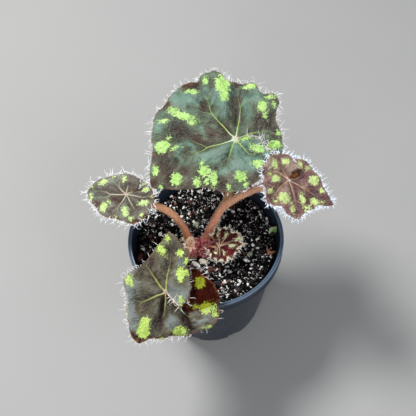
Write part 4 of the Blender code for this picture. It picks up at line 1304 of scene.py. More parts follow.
def ball(fineness: int) -> tuple[np.ndarray, list[list[int]]]:
    """Points and triangles of a unit ball, made finer by splitting an icosahedron's faces."""
    golden = (1 + math.sqrt(5)) / 2
    signs, halves = (-1, 1), (-golden, golden)
    corners = [Vector(c) for a in signs for b in halves for c in ((0, a, b), (a, b, 0), (b, 0, a))]
    faces = [
        trio for trio in combinations(range(12), 3)
        if all((corners[a] - corners[b]).length < 2.1 for a, b in combinations(trio, 2))
    ]
    corners = [corner.normalized() for corner in corners]
    outward = [
        (corners[b] - corners[a]).cross(corners[c] - corners[a]).dot(corners[a]) > 0 for a, b, c in faces
    ]
    faces = [(a, b, c) if right else (a, c, b) for (a, b, c), right in zip(faces, outward)]
    for _ in range(fineness):
        middles: dict[tuple, int] = {}
        finer = []
        for a, b, c in faces:
            mids = []
            for pair in ((a, b), (b, c), (c, a)):
                key = tuple(sorted(pair))
                if key not in middles:
                    middles[key] = len(corners)
                    corners.append((corners[key[0]] + corners[key[1]]).normalized())
                mids.append(middles[key])
            finer += [(a, mids[0], mids[2]), (mids[0], b, mids[1]), (mids[2], mids[1], c), tuple(mids)]
        faces = finer
    return np.array([tuple(corner) for corner in corners]), [list(face) for face in faces]


def add_lump(shape: Shape, centre: Point, radii: Point, turn: float, fineness: int, rough: float,
             **values: float) -> None:
    """Add a lumpy ball with three radii, turned about Z, its points carrying the given values."""
    corners, faces = ball(fineness)
    places = corners + np.array(centre)
    bumps = noise_at(places, 1.7) * rough + noise_at(places, 4.5) * rough * 0.5
    points = corners * np.array(radii) * (1 + bumps)[:, None]
    cos, sin = math.cos(math.radians(turn)), math.sin(math.radians(turn))
    points = points @ np.array([[cos, sin, 0], [-sin, cos, 0], [0, 0, 1]]) + np.array(centre)
    shape.add(points, faces, **{key: np.full(len(points), value) for key, value in values.items()})


@dataclass(frozen=True)
class Grains:
    """Many small angular grains strewn over the soil."""

    count: int
    size: Pair
    stretch: Pair
    flat: float
    fineness: int
    jag: float
    sunk: float
    seed: int
    lean: Pair = (0.0, 0.0)
    wall_gap: float = 1.2

    def add(self, shape: Shape, fixed: list[Point]) -> None:
        """Add the grains.

        Args:
            shape: The piece that gets them.
            fixed: Grains that have a place already, as x, y and size.
        """
        draw = np.random.default_rng(self.seed)
        corners, faces = ball(self.fineness)
        edge = pot_inside(SHOULDER_HEIGHT) - self.wall_gap
        spots = list(fixed)
        while len(spots) < self.count:
            radius, turn = edge * math.sqrt(draw.random()), draw.uniform(0, math.tau)
            x = radius * math.cos(turn) + self.lean[0] * draw.random()
            y = radius * math.sin(turn) + self.lean[1]
            if math.hypot(x, y) < edge:
                spots.append((x, y, self.size[0] + (self.size[1] - self.size[0]) * draw.random() ** 2.2))
        for x, y, size in spots:
            spin = Matrix.Rotation(draw.uniform(0, math.tau), 3, "Z")
            turn = spin @ Matrix.Rotation(draw.normal(0, 0.5), 3, "X")
            radii = size * draw.uniform(0.75, 1.15, 3) * (draw.uniform(*self.stretch), 1, self.flat)
            jags = 1 + draw.normal(0, self.jag, (len(corners), 1))
            points = (corners * radii * jags) @ np.array(turn).T
            points += (x, y, soil_height(x, y) + size * self.flat * self.sunk)
            shape.add(points, faces, shade=np.full(len(points), draw.random()))


@dataclass(frozen=True)
class Soil:
    """Potting mix: a plug with a rough top, dark crumbs, bark flakes and white perlite."""

    segments: int = 150
    rings: int = 44
    crumbs: tuple[Grains, ...] = (
        Grains(1000, (0.7, 1.8), (0.9, 1.8), 0.8, 0, 0.20, 0.25, 31),
        Grains(7000, (0.25, 0.8), (0.8, 1.8), 0.85, 0, 0.22, 0.45, 32),
    )
    flakes: tuple[Grains, ...] = (
        Grains(70, (0.5, 1.3), (1.2, 2.4), 0.35, 0, 0.16, 0.6, 33),
        Grains(70, (0.6, 1.7), (1.2, 2.4), 0.35, 0, 0.16, 0.8, 34, (-30.0, -2.0)),
    )
    perlite: tuple[Grains, ...] = (
        Grains(430, (0.4, 1.0), (0.9, 1.6), 0.8, 1, 0.2, 0.5, 35),
        Grains(4000, (0.15, 0.42), (0.9, 1.9), 0.85, 0, 0.2, 1.0, 36),
    )
    red_bits: tuple[Point, ...] = (
        (-9.6, -14.4, 1.5), (-8.9, -16.4, 1.3), (-10.6, -15.9, 1.2), (-7.9, -12.8, 1.0),
    )
    frame_grains: int = 62
    frame_sizes: Pair = (1.1, 2.1)
    frame_share: float = 0.55
    frame_wall_gap: float = 3.6
    crown_place: Pair = (-3.0, -2.0)
    crown_clear: float = 13.0

    def frame_perlite(self, litter: tuple) -> list[Point]:
        """Places of the larger perlite grains, by the same draw as in the CAD source.

        Args:
            litter: The pieces that lie on the soil, which the grains keep clear of.

        Returns:
            The x, y and size of each.
        """
        draw = random.Random(11)
        edge = pot_inside(SHOULDER_HEIGHT) - self.frame_wall_gap
        rounds = [(item.x, item.y, item.radii[0] + 0.6) for item in litter if isinstance(item, Lump)]
        rounds += [(x, y, 3.4) for item in litter if isinstance(item, (Flake, Leaflet)) for x, y in item.line]
        places: list[Point] = []
        while len(places) < self.frame_grains:
            turn, radius = draw.uniform(0, math.tau), edge * math.sqrt(draw.random())
            x, y = radius * math.cos(turn), radius * math.sin(turn)
            size = draw.uniform(*self.frame_sizes)
            crowded = any(math.hypot(x - a, y - b) < size + other + 0.4 for a, b, other in places)
            taken = any(math.hypot(x - a, y - b) < size + gap for a, b, gap in rounds)
            from_crown = math.hypot(x - self.crown_place[0], y - self.crown_place[1])
            if from_crown < self.crown_clear or crowded or taken:
                continue
            places.append((x, y, size))
            for _ in range(4):
                draw.random()
        return [(x, y, size * self.frame_share) for x, y, size in places]

    def build(self, litter: tuple) -> list[bpy.types.Object]:
        """The plug, the crumbs, the bark flakes and the perlite."""
        plug = Shape()
        self.add_plug(plug)
        black = LumpFinish("mix", (0.008, 0.006, 0.005), (0.001, 0.001, 0.001), 1.2, 0.5, 0.95, shine=0.1)
        crumb = LumpFinish(
            "crumb", (0.075, 0.062, 0.066), (0.0, 0.0, 0.0), 0.9, 0.35, 0.7, True, 0.1, (0.6, 1.15)
        )
        bark = LumpFinish("bark_flake", (0.18, 0.060, 0.046), (0.016, 0.007, 0.006), 1.0, 0.3, 0.7, True)
        white = LumpFinish(
            "perlite", (1.0, 1.0, 0.97), (0.28, 0.25, 0.22), 0.8, 0.3, 0.8, True, 0.4, (0.05, 0.55)
        )
        made = [plug.make("soil_plug", [black.material()], ("soil",))]
        rows = (
            ("soil_crumbs", self.crumbs, crumb, []),
            ("soil_bark", self.flakes, bark, list(self.red_bits)),
            ("soil_perlite", self.perlite, white, self.frame_perlite(litter)),
        )
        for name, groups, finish, fixed in rows:
            shape = Shape()
            for index, group in enumerate(groups):
                group.add(shape, fixed if index == 0 else [])
            made.append(shape.make(name, [finish.material()], shading=Shading.FACETED))
        return made

    def add_plug(self, shape: Shape) -> None:
        """Add the plug: its foot and side follow the pot's inner wall, its top is fine and rough."""
        edge = pot_inside(SHOULDER_HEIGHT) - 0.4
        turn = ring_angles(self.segments)
        rows = [
            (pot_inside(FLOOR) - 1.4, FLOOR + SOIL_GAP), (pot_inside(FLOOR + 1.5) - SOIL_GAP, FLOOR + 1.6),
            (edge, SHOULDER_HEIGHT),
        ]
        radii = [radius for radius, _ in rows]
        radii += list(edge * (1 - (np.arange(self.rings) + 0.05) / self.rings))
        points = []
        for index, radius in enumerate(radii):
            ring = np.column_stack([radius * np.cos(turn), radius * np.sin(turn)])
            if index < len(rows):
                heights = np.full(self.segments, rows[index][1])
            else:
                heights = np.array([soil_height(x, y) for x, y in ring]) - 0.3
                heights += noise_at(np.column_stack([ring, turn * 0]), 1.1, 8.0) * 0.7
            points.append(np.column_stack([ring, heights]))
        points += [[[0, 0, FLOOR + SOIL_GAP]], [[0, 0, soil_height(0, 0) - 0.3]]]
        shape.add(np.vstack(points), turned_faces(len(radii), self.segments))


@dataclass(frozen=True)
class Pot:
    """The thin nursery pot: tapered wall, rim band with a double-lined lip, drain slots at the foot."""

    segments: int = 168
    drains: int = 8
    drain_size: Point = (9.0, 8.0, 9.0)
    # The second colour is the lip's painted highlight.
    finish: PlasticFinish = PlasticFinish(
        "slate_plastic", (0.016, 0.026, 0.042), (0.12, 0.18, 0.26), (0.10, 0.08, 0.06)
    )

    def profile(self) -> list[Pair]:
        """Radius and height round the wall, outer side first."""
        groove = RIM_RADIUS - LIP_WIDTH / 2
        return [
            (BASE_RADIUS - 9, UNDERSIDE_RISE), (BASE_RADIUS - 8, 0), (BASE_RADIUS - 1, 0),
            (BASE_RADIUS - 0.3, 0.3),
            (BASE_RADIUS, 1), (BASE_RADIUS + 1.6, 12), (BASE_RADIUS + 1.9, 12.6), (BASE_RADIUS + 2.1, 14),
            (SHOULDER_RADIUS - 0.5, SHOULDER_HEIGHT - 4), (SHOULDER_RADIUS + 0.1, SHOULDER_HEIGHT - 3.4),
            (SHOULDER_RADIUS + 0.8, SHOULDER_HEIGHT - 2.6), (RIM_RADIUS - 1.6, SHOULDER_HEIGHT - 1.3),
            (RIM_RADIUS - 0.9, SHOULDER_HEIGHT - 0.8), (RIM_RADIUS - 0.7, SHOULDER_HEIGHT),
            (RIM_RADIUS - 0.55, SHOULDER_HEIGHT + 2.4), (RIM_RADIUS - 0.15, SHOULDER_HEIGHT + 2.8),
            (RIM_RADIUS - 0.15, SHOULDER_HEIGHT + 3.6), (RIM_RADIUS - 0.45, SHOULDER_HEIGHT + 4.0),
            (RIM_RADIUS - 0.2, POT_HEIGHT - 2.2), (RIM_RADIUS, POT_HEIGHT - 1.5),
            (RIM_RADIUS, POT_HEIGHT - 0.7), (RIM_RADIUS - 0.2, POT_HEIGHT - 0.2),
            (RIM_RADIUS - 0.6, POT_HEIGHT), (groove + 0.4, POT_HEIGHT - 0.15),
            (groove + 0.2, POT_HEIGHT - 0.6), (groove - 0.2, POT_HEIGHT - 0.6),
            (groove - 0.4, POT_HEIGHT - 0.15), (RIM_RADIUS - LIP_WIDTH + 0.3, POT_HEIGHT),
            (RIM_RADIUS - LIP_WIDTH, POT_HEIGHT - 0.4), (RIM_RADIUS - LIP_WIDTH - 0.2, SHOULDER_HEIGHT + 3.4),
            (pot_inside(SHOULDER_HEIGHT), SHOULDER_HEIGHT), (pot_inside(FLOOR + 1), FLOOR + 1),
            (pot_inside(FLOOR) - 1, FLOOR),
        ]

    def build(self) -> bpy.types.Object:
        """The pot, with its slots cut."""
        shape = Shape()
        turn = ring_angles(self.segments)
        rows = self.profile()
        points = []
        for radius, height in rows:
            bent = radius + 0.18 * np.sin(turn * 2 + 0.7) * max(0.0, height / POT_HEIGHT - 0.5)
            level = np.full(len(turn), height)
            points.append(np.column_stack([bent * np.cos(turn), bent * np.sin(turn), level]))
        points += [[[0, 0, UNDERSIDE_RISE]], [[0, 0, FLOOR]]]
        shape.add(np.vstack(points), turned_faces(len(rows), self.segments))
        pot = shape.make("nursery_pot", [self.finish.material()], ("pot",))
        self.cut_drains(pot)
        pot.data.set_sharp_from_angle(angle=math.radians(40))
        return pot

    def cut_drains(self, pot: bpy.types.Object) -> None:
        """Cut the drain slots with a Boolean and keep the cut mesh."""
        slots = []
        for k in range(self.drains):
            size = Matrix.Diagonal((*(side * MM for side in self.drain_size), 1))
            turn = Matrix.Rotation(math.tau * (k + 0.5) / self.drains, 4, "Z")
            corners, faces = slot_box()
            mesh = bpy.data.meshes.new("slot")
            mesh.from_pydata(corners, [], faces)
            slot = bpy.data.objects.new("slot", mesh)
            slot.matrix_world = turn @ Matrix.Translation((BASE_RADIUS * MM, 0, 0)) @ size
            slots.append(slot)
        group = bpy.data.collections.new("slots")
        bpy.context.scene.collection.children.link(group)
        for slot in slots:
            group.objects.link(slot)
        modifier = pot.modifiers.new("slots", "BOOLEAN")
        modifier.operation, modifier.operand_type, modifier.collection = "DIFFERENCE", "COLLECTION", group
        bpy.context.view_layer.update()
        pot.data = bpy.data.meshes.new_from_object(pot.evaluated_get(bpy.context.evaluated_depsgraph_get()))
        pot.modifiers.clear()
        for slot in slots:
            bpy.data.objects.remove(slot)
        bpy.data.collections.remove(group)


def slot_box() -> tuple[list[Point], list[tuple[int, ...]]]:
    """Corners and faces of a unit box."""
    corners = [(x / 2, y / 2, z / 2) for x in (-1, 1) for y in (-1, 1) for z in (-1, 1)]
    return corners, [(0, 1, 3, 2), (4, 6, 7, 5), (0, 4, 5, 1), (2, 3, 7, 6), (0, 2, 6, 4), (1, 5, 7, 3)]


@dataclass(frozen=True)
class Lump:
    """A pebble, bark chip or grain that lies on the soil."""

    name: str
    x: float
    y: float
    radii: Point
    turn: float
    sunk: float
    slot: Slot
    finish: LumpFinish
    rough: float = 0.2

    def build(self) -> bpy.types.Object:
        """The lump, slightly sunk in the soil."""
        shape = Shape()
        centre = (self.x, self.y, soil_height(self.x, self.y) + self.radii[2] - self.sunk)
        add_lump(shape, centre, self.radii, self.turn, 4, self.rough)
        return shape.make(self.name, [self.finish.material()], (self.name,))


@dataclass(frozen=True)
class Flake:
    """A thin scrap that stands on edge in the soil, bent along its line."""

    name: str
    line: tuple[Pair, ...]
    half: float
    height: float
    slot: Slot
    finish: LumpFinish
    lean: float = 50.0

    def build(self) -> bpy.types.Object:
        """The scrap: flat, broad at its first end and pointed at its last, with a waved edge."""
        shape = Shape()
        rises = (self.height * 0.6, self.height, self.height * 0.6)
        marks = np.array([(x, y, soil_height(x, y) + rise - 0.6) for (x, y), rise in zip(self.line, rises)])
        rings, sides = 24, 12
        line = curve_through(marks, rings)
        share = np.linspace(0, 1, rings)
        lean = math.radians(self.lean)
        flat = unit(np.cross(marks[-1] - marks[0], (0, 0, 1)))
        out = flat * math.cos(lean) + np.array([0, 0, math.sin(lean)])
        across = np.array([0, 0, math.cos(lean)]) - flat * math.sin(lean)
        wide = self.half * np.sin(math.pi * (0.10 + share * 0.86) ** 0.75) ** 0.8
        wide = wide * (1 + 0.14 * np.sin(share * 19))
        turn = ring_angles(sides)
        points = [
            centre + np.outer(np.cos(turn) * 0.32, out) + np.outer(np.sin(turn) * w, across)
            for centre, w in zip(line, wide)
        ]
        shape.add(np.vstack(points), tube_faces(rings, sides))
        return shape.make(self.name, [self.finish.material()], (self.name,))


@dataclass(frozen=True)
class Leaflet:
    """A small fallen leaflet that leans from the soil towards the pot's wall, one half folded up."""

    name: str
    line: tuple[Pair, ...]
    rises: tuple[float, ...]
    widths: tuple[float, ...]
    face: Point
    finish: BladeFinish

    def build(self) -> bpy.types.Object:
        """The leaflet: a thin bowed blade with a midrib crease and a waved, pale folded edge."""
        shape = Shape()
        marks = [(x, y, soil_height(x, y) + rise) for (x, y), rise in zip(self.line, self.rises)]
        rings, columns = 20, 13
        across = np.linspace(-1, 1, columns)
        line = curve_through(np.array(marks), rings)
        _, side, up = strip_frame(line, self.face)
        share = np.linspace(0, 1, rings)
        wide = np.interp(share, np.linspace(0, 1, len(self.widths)), self.widths)
        wide = wide * (1 + 0.08 * np.sin(share * 21))
        rise = np.abs(across) * 0.30 + np.where(across < 0, across**2 * 0.35, 0)
        top = strip_rings(line, side, up, across[None] * wide[:, None], rise[None] * wide[:, None])
        low = top - up[:, None] * (0.45 * (1 - across**2 * 0.6))[None, :, None]
        ring = np.concatenate([top, low[:, ::-1]], axis=1).reshape(-1, 3)
        both = np.concatenate([across + 1, across[::-1] + 1])
        edge = np.tile(both, rings) * np.repeat(wide, 2 * columns) - 1.2
        away, plain = np.full(len(ring), 9.0), np.zeros(len(ring))
        values = {"edge": edge, "seat": away, "vein": away, "spot": np.where(edge < 0.75, -6.0, 2.0)}
        shape.add(ring, tube_faces(rings, 2 * columns), tone=plain, rise=plain, **values)
        return shape.make(self.name, [self.finish.upper()], (self.name,))


@dataclass(frozen=True)
class Studio:
    """Pale floor, soft studio light and the camera at the photograph's angle."""

    distance: float = 450.0
    elevation: float = 57.0
    roll: float = 4.5
    shift: Pair = (3.0, 18.1)
    focal: float = 701.5
    width: int = 416

    def build(self) -> None:
        """Everything that isn't part of the plant."""
        self.add_floor()
        self.add_lights()
        self.add_camera()

    def add_floor(self) -> None:
        """A wide plain floor."""
        mesh = bpy.data.meshes.new("floor")
        half = 6.0
        corners = [(-half, -half, 0), (half, -half, 0), (half, half, 0), (-half, half, 0)]
        mesh.from_pydata(corners, [], [(0, 1, 2, 3)])
        floor = add_object("floor", mesh)
        g = Graph("studio_floor")
        shade = g.mix((0.35, 0.35, 0.35), (0.375, 0.375, 0.37), g.grain(90, 2))
        mesh.materials.append(g.finish(shade, 0.75))

    def add_lights(self) -> None:
        """A large key from behind and above, a wide fill from the front, a low rim, and an even sky."""
        rows = (
            ("key", (-0.55, 0.45, 1.15), 0.42, 19.5, (1.0, 0.99, 0.97)),
            ("fill", (0.75, -0.75, 1.0), 0.8, 5.5, (0.92, 0.96, 1.0)),
            ("front", (-0.35, -0.85, 0.65), 0.4, 2.5, (1.0, 1.0, 1.0)),
        )
        for name, place, size, power, colour in rows:
            light = bpy.data.lights.new(name, "AREA")
            light.shape, light.size, light.energy, light.color = "DISK", size, power, colour
            thing = add_object(name, light)
            thing.location = place
            thing.rotation_euler = (Vector((0, 0, 0.09)) - Vector(place)).to_track_quat("-Z", "Y").to_euler()
        world = bpy.data.worlds.new("studio")
        world.use_nodes = True
        world.node_tree.nodes["Background"].inputs["Color"].default_value = (0.90, 0.95, 1.0, 1)
        world.node_tree.nodes["Background"].inputs["Strength"].default_value = 0.25
        bpy.context.scene.world = world
        bpy.context.scene.view_settings.view_transform = "Standard"

    def add_camera(self) -> None:
        """The camera fitted to the pot's rim."""
        tilt, turn = math.radians(self.elevation), math.radians(self.roll)
        back = Vector((0, -math.cos(tilt), math.sin(tilt)))
        level = Vector((1, 0, 0))
        rise = back.cross(level)
        centred = Vector((0, 0, POT_HEIGHT)) + back * self.distance
        place = centred + level * self.shift[0] + rise * self.shift[1]
        right = level * math.cos(turn) - rise * math.sin(turn)
        up = level * math.sin(turn) + rise * math.cos(turn)
        data = bpy.data.cameras.new("camera")
        data.sensor_width = 36.0
        data.lens = data.sensor_width * self.focal / self.width
        data.clip_start, data.clip_end = 0.01, 20.0
        camera = add_object("camera", data)
        camera.matrix_world = Matrix.Translation(place * MM) @ Matrix((right, up, back)).transposed().to_4x4()
        bpy.context.scene.camera = camera


BACK_BLADE = Blade(
    name="back",
    seat=(22.8, 34.1, 140),
    lean=(-0.1, -0.2),
    heading=-158.4,
    margin=(
        (126, 28.8), (136, 30), (148, 27.9), (163, 27.9), (179, 27.4), (189, 30.8), (195, 36.2), (202, 39.3),
        (208, 38.8), (216, 35.9), (221, 38.6), (227, 41.3), (234, 40.6), (248, 42.4), (251, 44.4),
        (253, 48.7), (257, 52.3), (263, 53), (268, 51.9), (272, 50.2), (276, 52.6), (287, 53.3), (300, 52.9),
        (307, 54.6), (321, 52.9), (327, 52.8), (334, 51), (341, 52), (356, 56.8), (361, 57.9), (370, 49.4),
        (388, 37.3), (398, 34.2), (409, 34.3), (427, 33.9), (435, 32.4), (477, 26.2), (485, 24.2),
        (489, 21.4), (496, 18.1), (504, 15.6), (519, 9.5), (529, 6.7),
    ),
    veins=(171, 235, 270, 301, 326, 350, 409, 472),
    cup=-3,
    twist=(26, 34),
    lift=(-3, 1),
    ribs=(
        ((228, 0.3), (280, 10.8), (281, 22.6), (275, 30.7), (272, 35.2), (263, 40.1)),
        ((281, 22.6), (289, 29.6), (292, 37.6)), ((272, 35.2), (273, 42.8)),
        ((221, 1), (233, 9.6), (235, 22.2), (239, 28.9), (242, 37.2)),
        ((235, 22.2), (227, 28.2), (220, 31.8)), ((517, 1.2), (174, 9.1), (172, 17.3), (175, 22.6)),
        ((350, 2.8), (347, 10.3), (346, 17.8), (351, 23), (353, 27.5), (352, 32.7), (351, 38)),
        ((346, 17.8), (335, 23.6), (327, 29.5), (323, 35.1)), ((385, 3.5), (403, 9.7), (405, 17.8)),
        ((452, 3.6), (461, 10.9), (466, 16.3)), ((273, 35), (267, 38.3), (262, 41.5)),
        ((273, 35), (274, 40.4), (275, 44.8)), ((173, 17.4), (163, 20.5), (155, 24)),
    ),
    blotches=(
        (511, 5.5, 4.3, 2, 163), (484, 15, 4.3, 2.4, 133), (303, 38.3, 8.6, 2.2, 128),
        (254, 40.2, 7.2, 4.5, 68), (255, 31.4, 4.2, 2.6, 68), (266, 47.6, 2.9, 1.7, 68),
        (280, 45.4, 4, 1.9, 148), (302, 45.7, 3.7, 1.9, 133), (303, 36.7, 4.9, 2.6, 128),
        (306, 29.9, 2.3, 2.2, 138), (313, 47.7, 2.9, 1.3, 158), (335, 44.7, 4.6, 4.2, 158),
        (338, 38.6, 3.2, 1, 158), (352, 52, 2.6, 1.7, 68), (366, 43.1, 4.2, 3.3, 68), (364, 53.4, 1.6, 1, 68),
        (382, 35.7, 2.9, 1.9, 68), (380, 27.6, 3.7, 3.2, 158), (371, 26, 2.2, 1.1, 68),
        (395, 28.3, 4.2, 2.2, 68), (390, 32.2, 1.6, 1.3, 68), (429, 25.5, 3.4, 2.9, 158),
        (434, 30, 2.2, 1.3, 68), (415, 31.4, 1.9, 0.9, 68), (459, 21.9, 3.3, 3.1, 158),
        (228, 38.6, 4.3, 1.8, 148), (206, 36.1, 3.2, 1.4, 158), (205, 27.4, 3.5, 3.3, 68),
        (196, 24.7, 2.5, 1.3, 68), (196, 33.2, 1.6, 1.1, 68), (162, 26.1, 1.9, 1.7, 68),
        (143, 23.3, 4.3, 2.6, 158), (486, 14.7, 3.7, 1.9, 138), (508, 5.8, 3.4, 1.9, 158),
        (326, 41.8, 1.7, 1.3, 158),
    ),
    tones=(
        (298, 13.5, 9.5, 7.7, 138, 1), (281, 32.4, 6.4, 2.3, 58, 1), (244, 26.2, 10.3, 1.7, 68, 0.9),
        (316, 37.4, 5.1, 2.6, 98, 1), (343, 47.3, 10.3, 4, 68, 1), (360, 47.2, 5.7, 3.9, 158, 0.8),
        (367, 34.5, 4.8, 4.3, 68, 0.7), (179, 22.6, 9.6, 3.4, 88, 0.9), (301, 53.1, 4.3, 3.5, 118, 0.8),
        (406, 26.8, 9.5, 3.9, 158, 0.7), (439, 28.3, 4, 3.9, 158, 0.8), (483, 14.7, 5.7, 3.9, 178, 0.6),
        (370, 19.6, 7.5, 3.5, 153, -1.2), (426, 19.1, 9.5, 3.5, 158, -1.1), (292, 45.7, 7.5, 3.2, 143, -1),
        (220, 19.3, 8.4, 3.7, 88, -0.7), (334, 35.6, 8.4, 3.4, 68, -0.6), (257, 21.7, 6.4, 3.2, 68, -0.6),
        (228, 33.6, 5.7, 3.9, 138, -0.7), (450, 14.5, 5.7, 3.9, 158, -0.6), (333, 29, 7.5, 1.5, 106, -1.5),
        (314, 21, 6, 1.6, 82, -1.7), (260, 23.2, 6, 2.2, 73, -1.2), (277, 50.3, 6, 2.2, 168, 2.9),
        (281, 32.4, 4, 2, 78, 2.2), (223, 30.4, 9, 1.2, 18, -1.8), (198, 17, 9, 4.2, 38, 1),
        (329, 24.8, 8, 3.2, 106, 1.3), (360, 33.1, 6, 2, 108, -1.3), (316, 49, 7, 2.6, 58, -1.2),
        (298, 14.4, 7, 1.6, 113, -1.4), (237, 27.7, 5, 1.4, 78, 1.6), (339, 40.4, 7, 3, 48, 0.9),
        (396, 26.4, 9, 2.2, 168, -1), (271, 38.8, 16, 5, 150, -1.1), (265, 32.5, 24, 8, 148, -0.7),
        (453, 9, 11, 6, 128, -1.6), (281, 37.5, 6, 3.5, 88, -1.6), (367, 33.3, 9, 4, 148, 0.9),
        (274, 17.8, 7, 4, 38, -0.6), (324, 16.3, 10, 5.5, 158, 0.9), (311, 42.5, 6, 5, 38, -0.6),
        (265, 37.5, 16, 4, 153, -0.5), (359, 47.3, 14, 5, 78, 0.9), (388, 34.9, 30, 6, 156, 0.9),
        (279, 49, 5.5, 3.2, 0, 2.5), (299, 52, 3, 3, 0, 2.2), (343, 55.5, 4, 3, 0, 2),
        (359, 56, 5, 3, 0, 1.9), (366, 55.7, 4, 3, 0, 1.9), (502, 14.5, 4.5, 4.5, 0, -3),
        (492, 19.5, 4, 4, 0, -3),
    ),
    folds=(
        (244, 36.6, 244, 15.5, 4, -1.6), (275, 44.9, 282, 29.5, 3.5, -1.3), (313, 39.4, 324, 33.3, 4, -1.6),
        (324, 33.3, 344, 24, 4, -1.4), (325, 32, 350, 24, 2.5, 1.2), (356, 27.3, 381, 12.6, 3.5, 1.3),
        (398, 20.3, 452, 22.5, 4, 1.6), (296, 49.3, 286, 40.6, 4, 1), (300, 22.7, 329, 19.1, 2, 0.6),
        (232, 25, 217, 30.7, 3, 1), (192, 19.7, 186, 27.2, 4, -1), (393, 25, 406, 32.1, 3, -1),
        (363, 27.2, 380, 31.2, 3, -0.8), (239, 36.5, 237, 24.8, 2.2, 0.8), (353, 38.9, 355, 51.8, 3, -0.9),
    ),
    finish=BRONZE,
    lash=Hair((2.8, 6.8), 0.25, 1.4, 1.1, 7),
    lash_gap=1.15,
    rib_width=(0.5, 0.1),
    bare=((366, 430, 0.3),),
    ridges=(((169, 6.6), (160, 11.3), (153, 14.7), (495, 18.2), (489, 22.5)),),
    crumple=1.15,
    tooth=(3.2, 0.5),
)

LEFT_BLADE = Blade(
    name="left",
    seat=(-46.7, 17.9, 114),
    lean=(-0.2, -0.06),
    heading=-178.7,
    margin=(
        (-157, 8), (-145, 11.2), (-120, 13.2), (-77, 15.5), (-65, 17.9), (-51, 20.6), (-39, 24.8),
        (-33, 26.4), (-29, 27.6), (-15, 26.9), (9, 21.2), (28, 20.2), (52, 17.6), (78, 18.2), (100, 21),
        (120, 21.2), (131, 20.2), (156, 18.6), (169, 17), (201, 14.2), (216, 13.4), (234, 12.6), (246, 10.6),
        (254, 7),
    ),
    veins=(-53, -12, 41, 109, 160, 198),
    cup=-1.5,
    twist=(6, 6),
    lift=(0.8, -0.7),
    ribs=(
        ((-53, 0.3), (-16, 5.6), (-16, 11), (-22, 15.1), (-22, 19.5), (-22, 25)),
        ((-15, 11.3), (-6, 15), (-1, 19.3)), ((66, 1), (53, 5.4), (53, 10), (44, 14.4)),
        ((53, 10), (64, 13.5)), ((107, 1.5), (109, 6.7), (110, 11.7)),
        ((160, 1.4), (161, 6.2), (159, 11), (166, 13.4)), ((208, 1.6), (207, 5.1), (204, 8.6)),
        ((-87, 1.3), (-102, 3.6), (-103, 5.8)), ((-42, 1.8), (-53, 5.7), (-56, 8.9), (-54, 12)),
        ((-57, 8.5), (-68, 10.3)),
    ),
    blotches=(
        (-40, 19.6, 3.2, 2, 179), (-88, 10.6, 2.2, 1.4, 89), (-66, 16.4, 1.3, 0.7, 179),
        (-29, 26.9, 1.7, 0.8, 109), (-10, 24, 2.4, 1.2, 89), (21, 16.2, 3.3, 2.5, 89),
        (15, 11.7, 1.5, 0.7, 109), (85, 12.5, 3.5, 1.8, 89), (96, 17.2, 1.4, 1.3, 179),
        (118, 18.5, 1.5, 1.4, 89), (141, 13.7, 3.2, 2.1, 179), (185, 12.4, 2.3, 1.8, 179),
        (165, 16.7, 1.2, 0.8, 179), (63, 17.2, 1.1, 0.7, 89), (208, 12.1, 1.3, 1.1, 179),
        (220, 3, 1.5, 0.7, 29),
    ),
    tones=(
        (-54, 14.9, 5, 1.9, 169, -1), (219, 10.1, 3, 2.2, 149, -1), (20, 7.8, 4.2, 2.2, 149, 1.4),
        (-9, 15.5, 7, 1.6, 174, -1.4), (74, 13, 5, 1.6, 79, -1.2), (-18, 23.9, 6, 2, 19, -1.2),
        (-1, 5.6, 6, 3, 179, 0.9), (11, 17.9, 6, 2.2, 149, 1.5), (-57, 9.3, 5, 2, 119, -0.9),
        (49, 19.2, 2.8, 2, 0, 3), (68, 18.2, 2.6, 1.8, 0, 3), (100, 20.4, 3.4, 2, 0, 2.9),
        (120, 20.6, 2.6, 1.8, 0, 2.6), (-4, 24.4, 2.2, 1.6, 0, 2.4),
    ),
    folds=(
        (15, 7.5, 28, 2.8, 2.5, -0.6), (-54, 14.9, -79, 11.7, 3, 0.5),
    ),
    finish=OLIVE,
    lash=Hair((3.6, 6.8), 0.30, 1.8, 1.5, 7),
    lash_gap=0.62,
    rib_width=(0.36, 0.1),
    crumple=0.6,
    tooth=(2.0, 0.45),
)

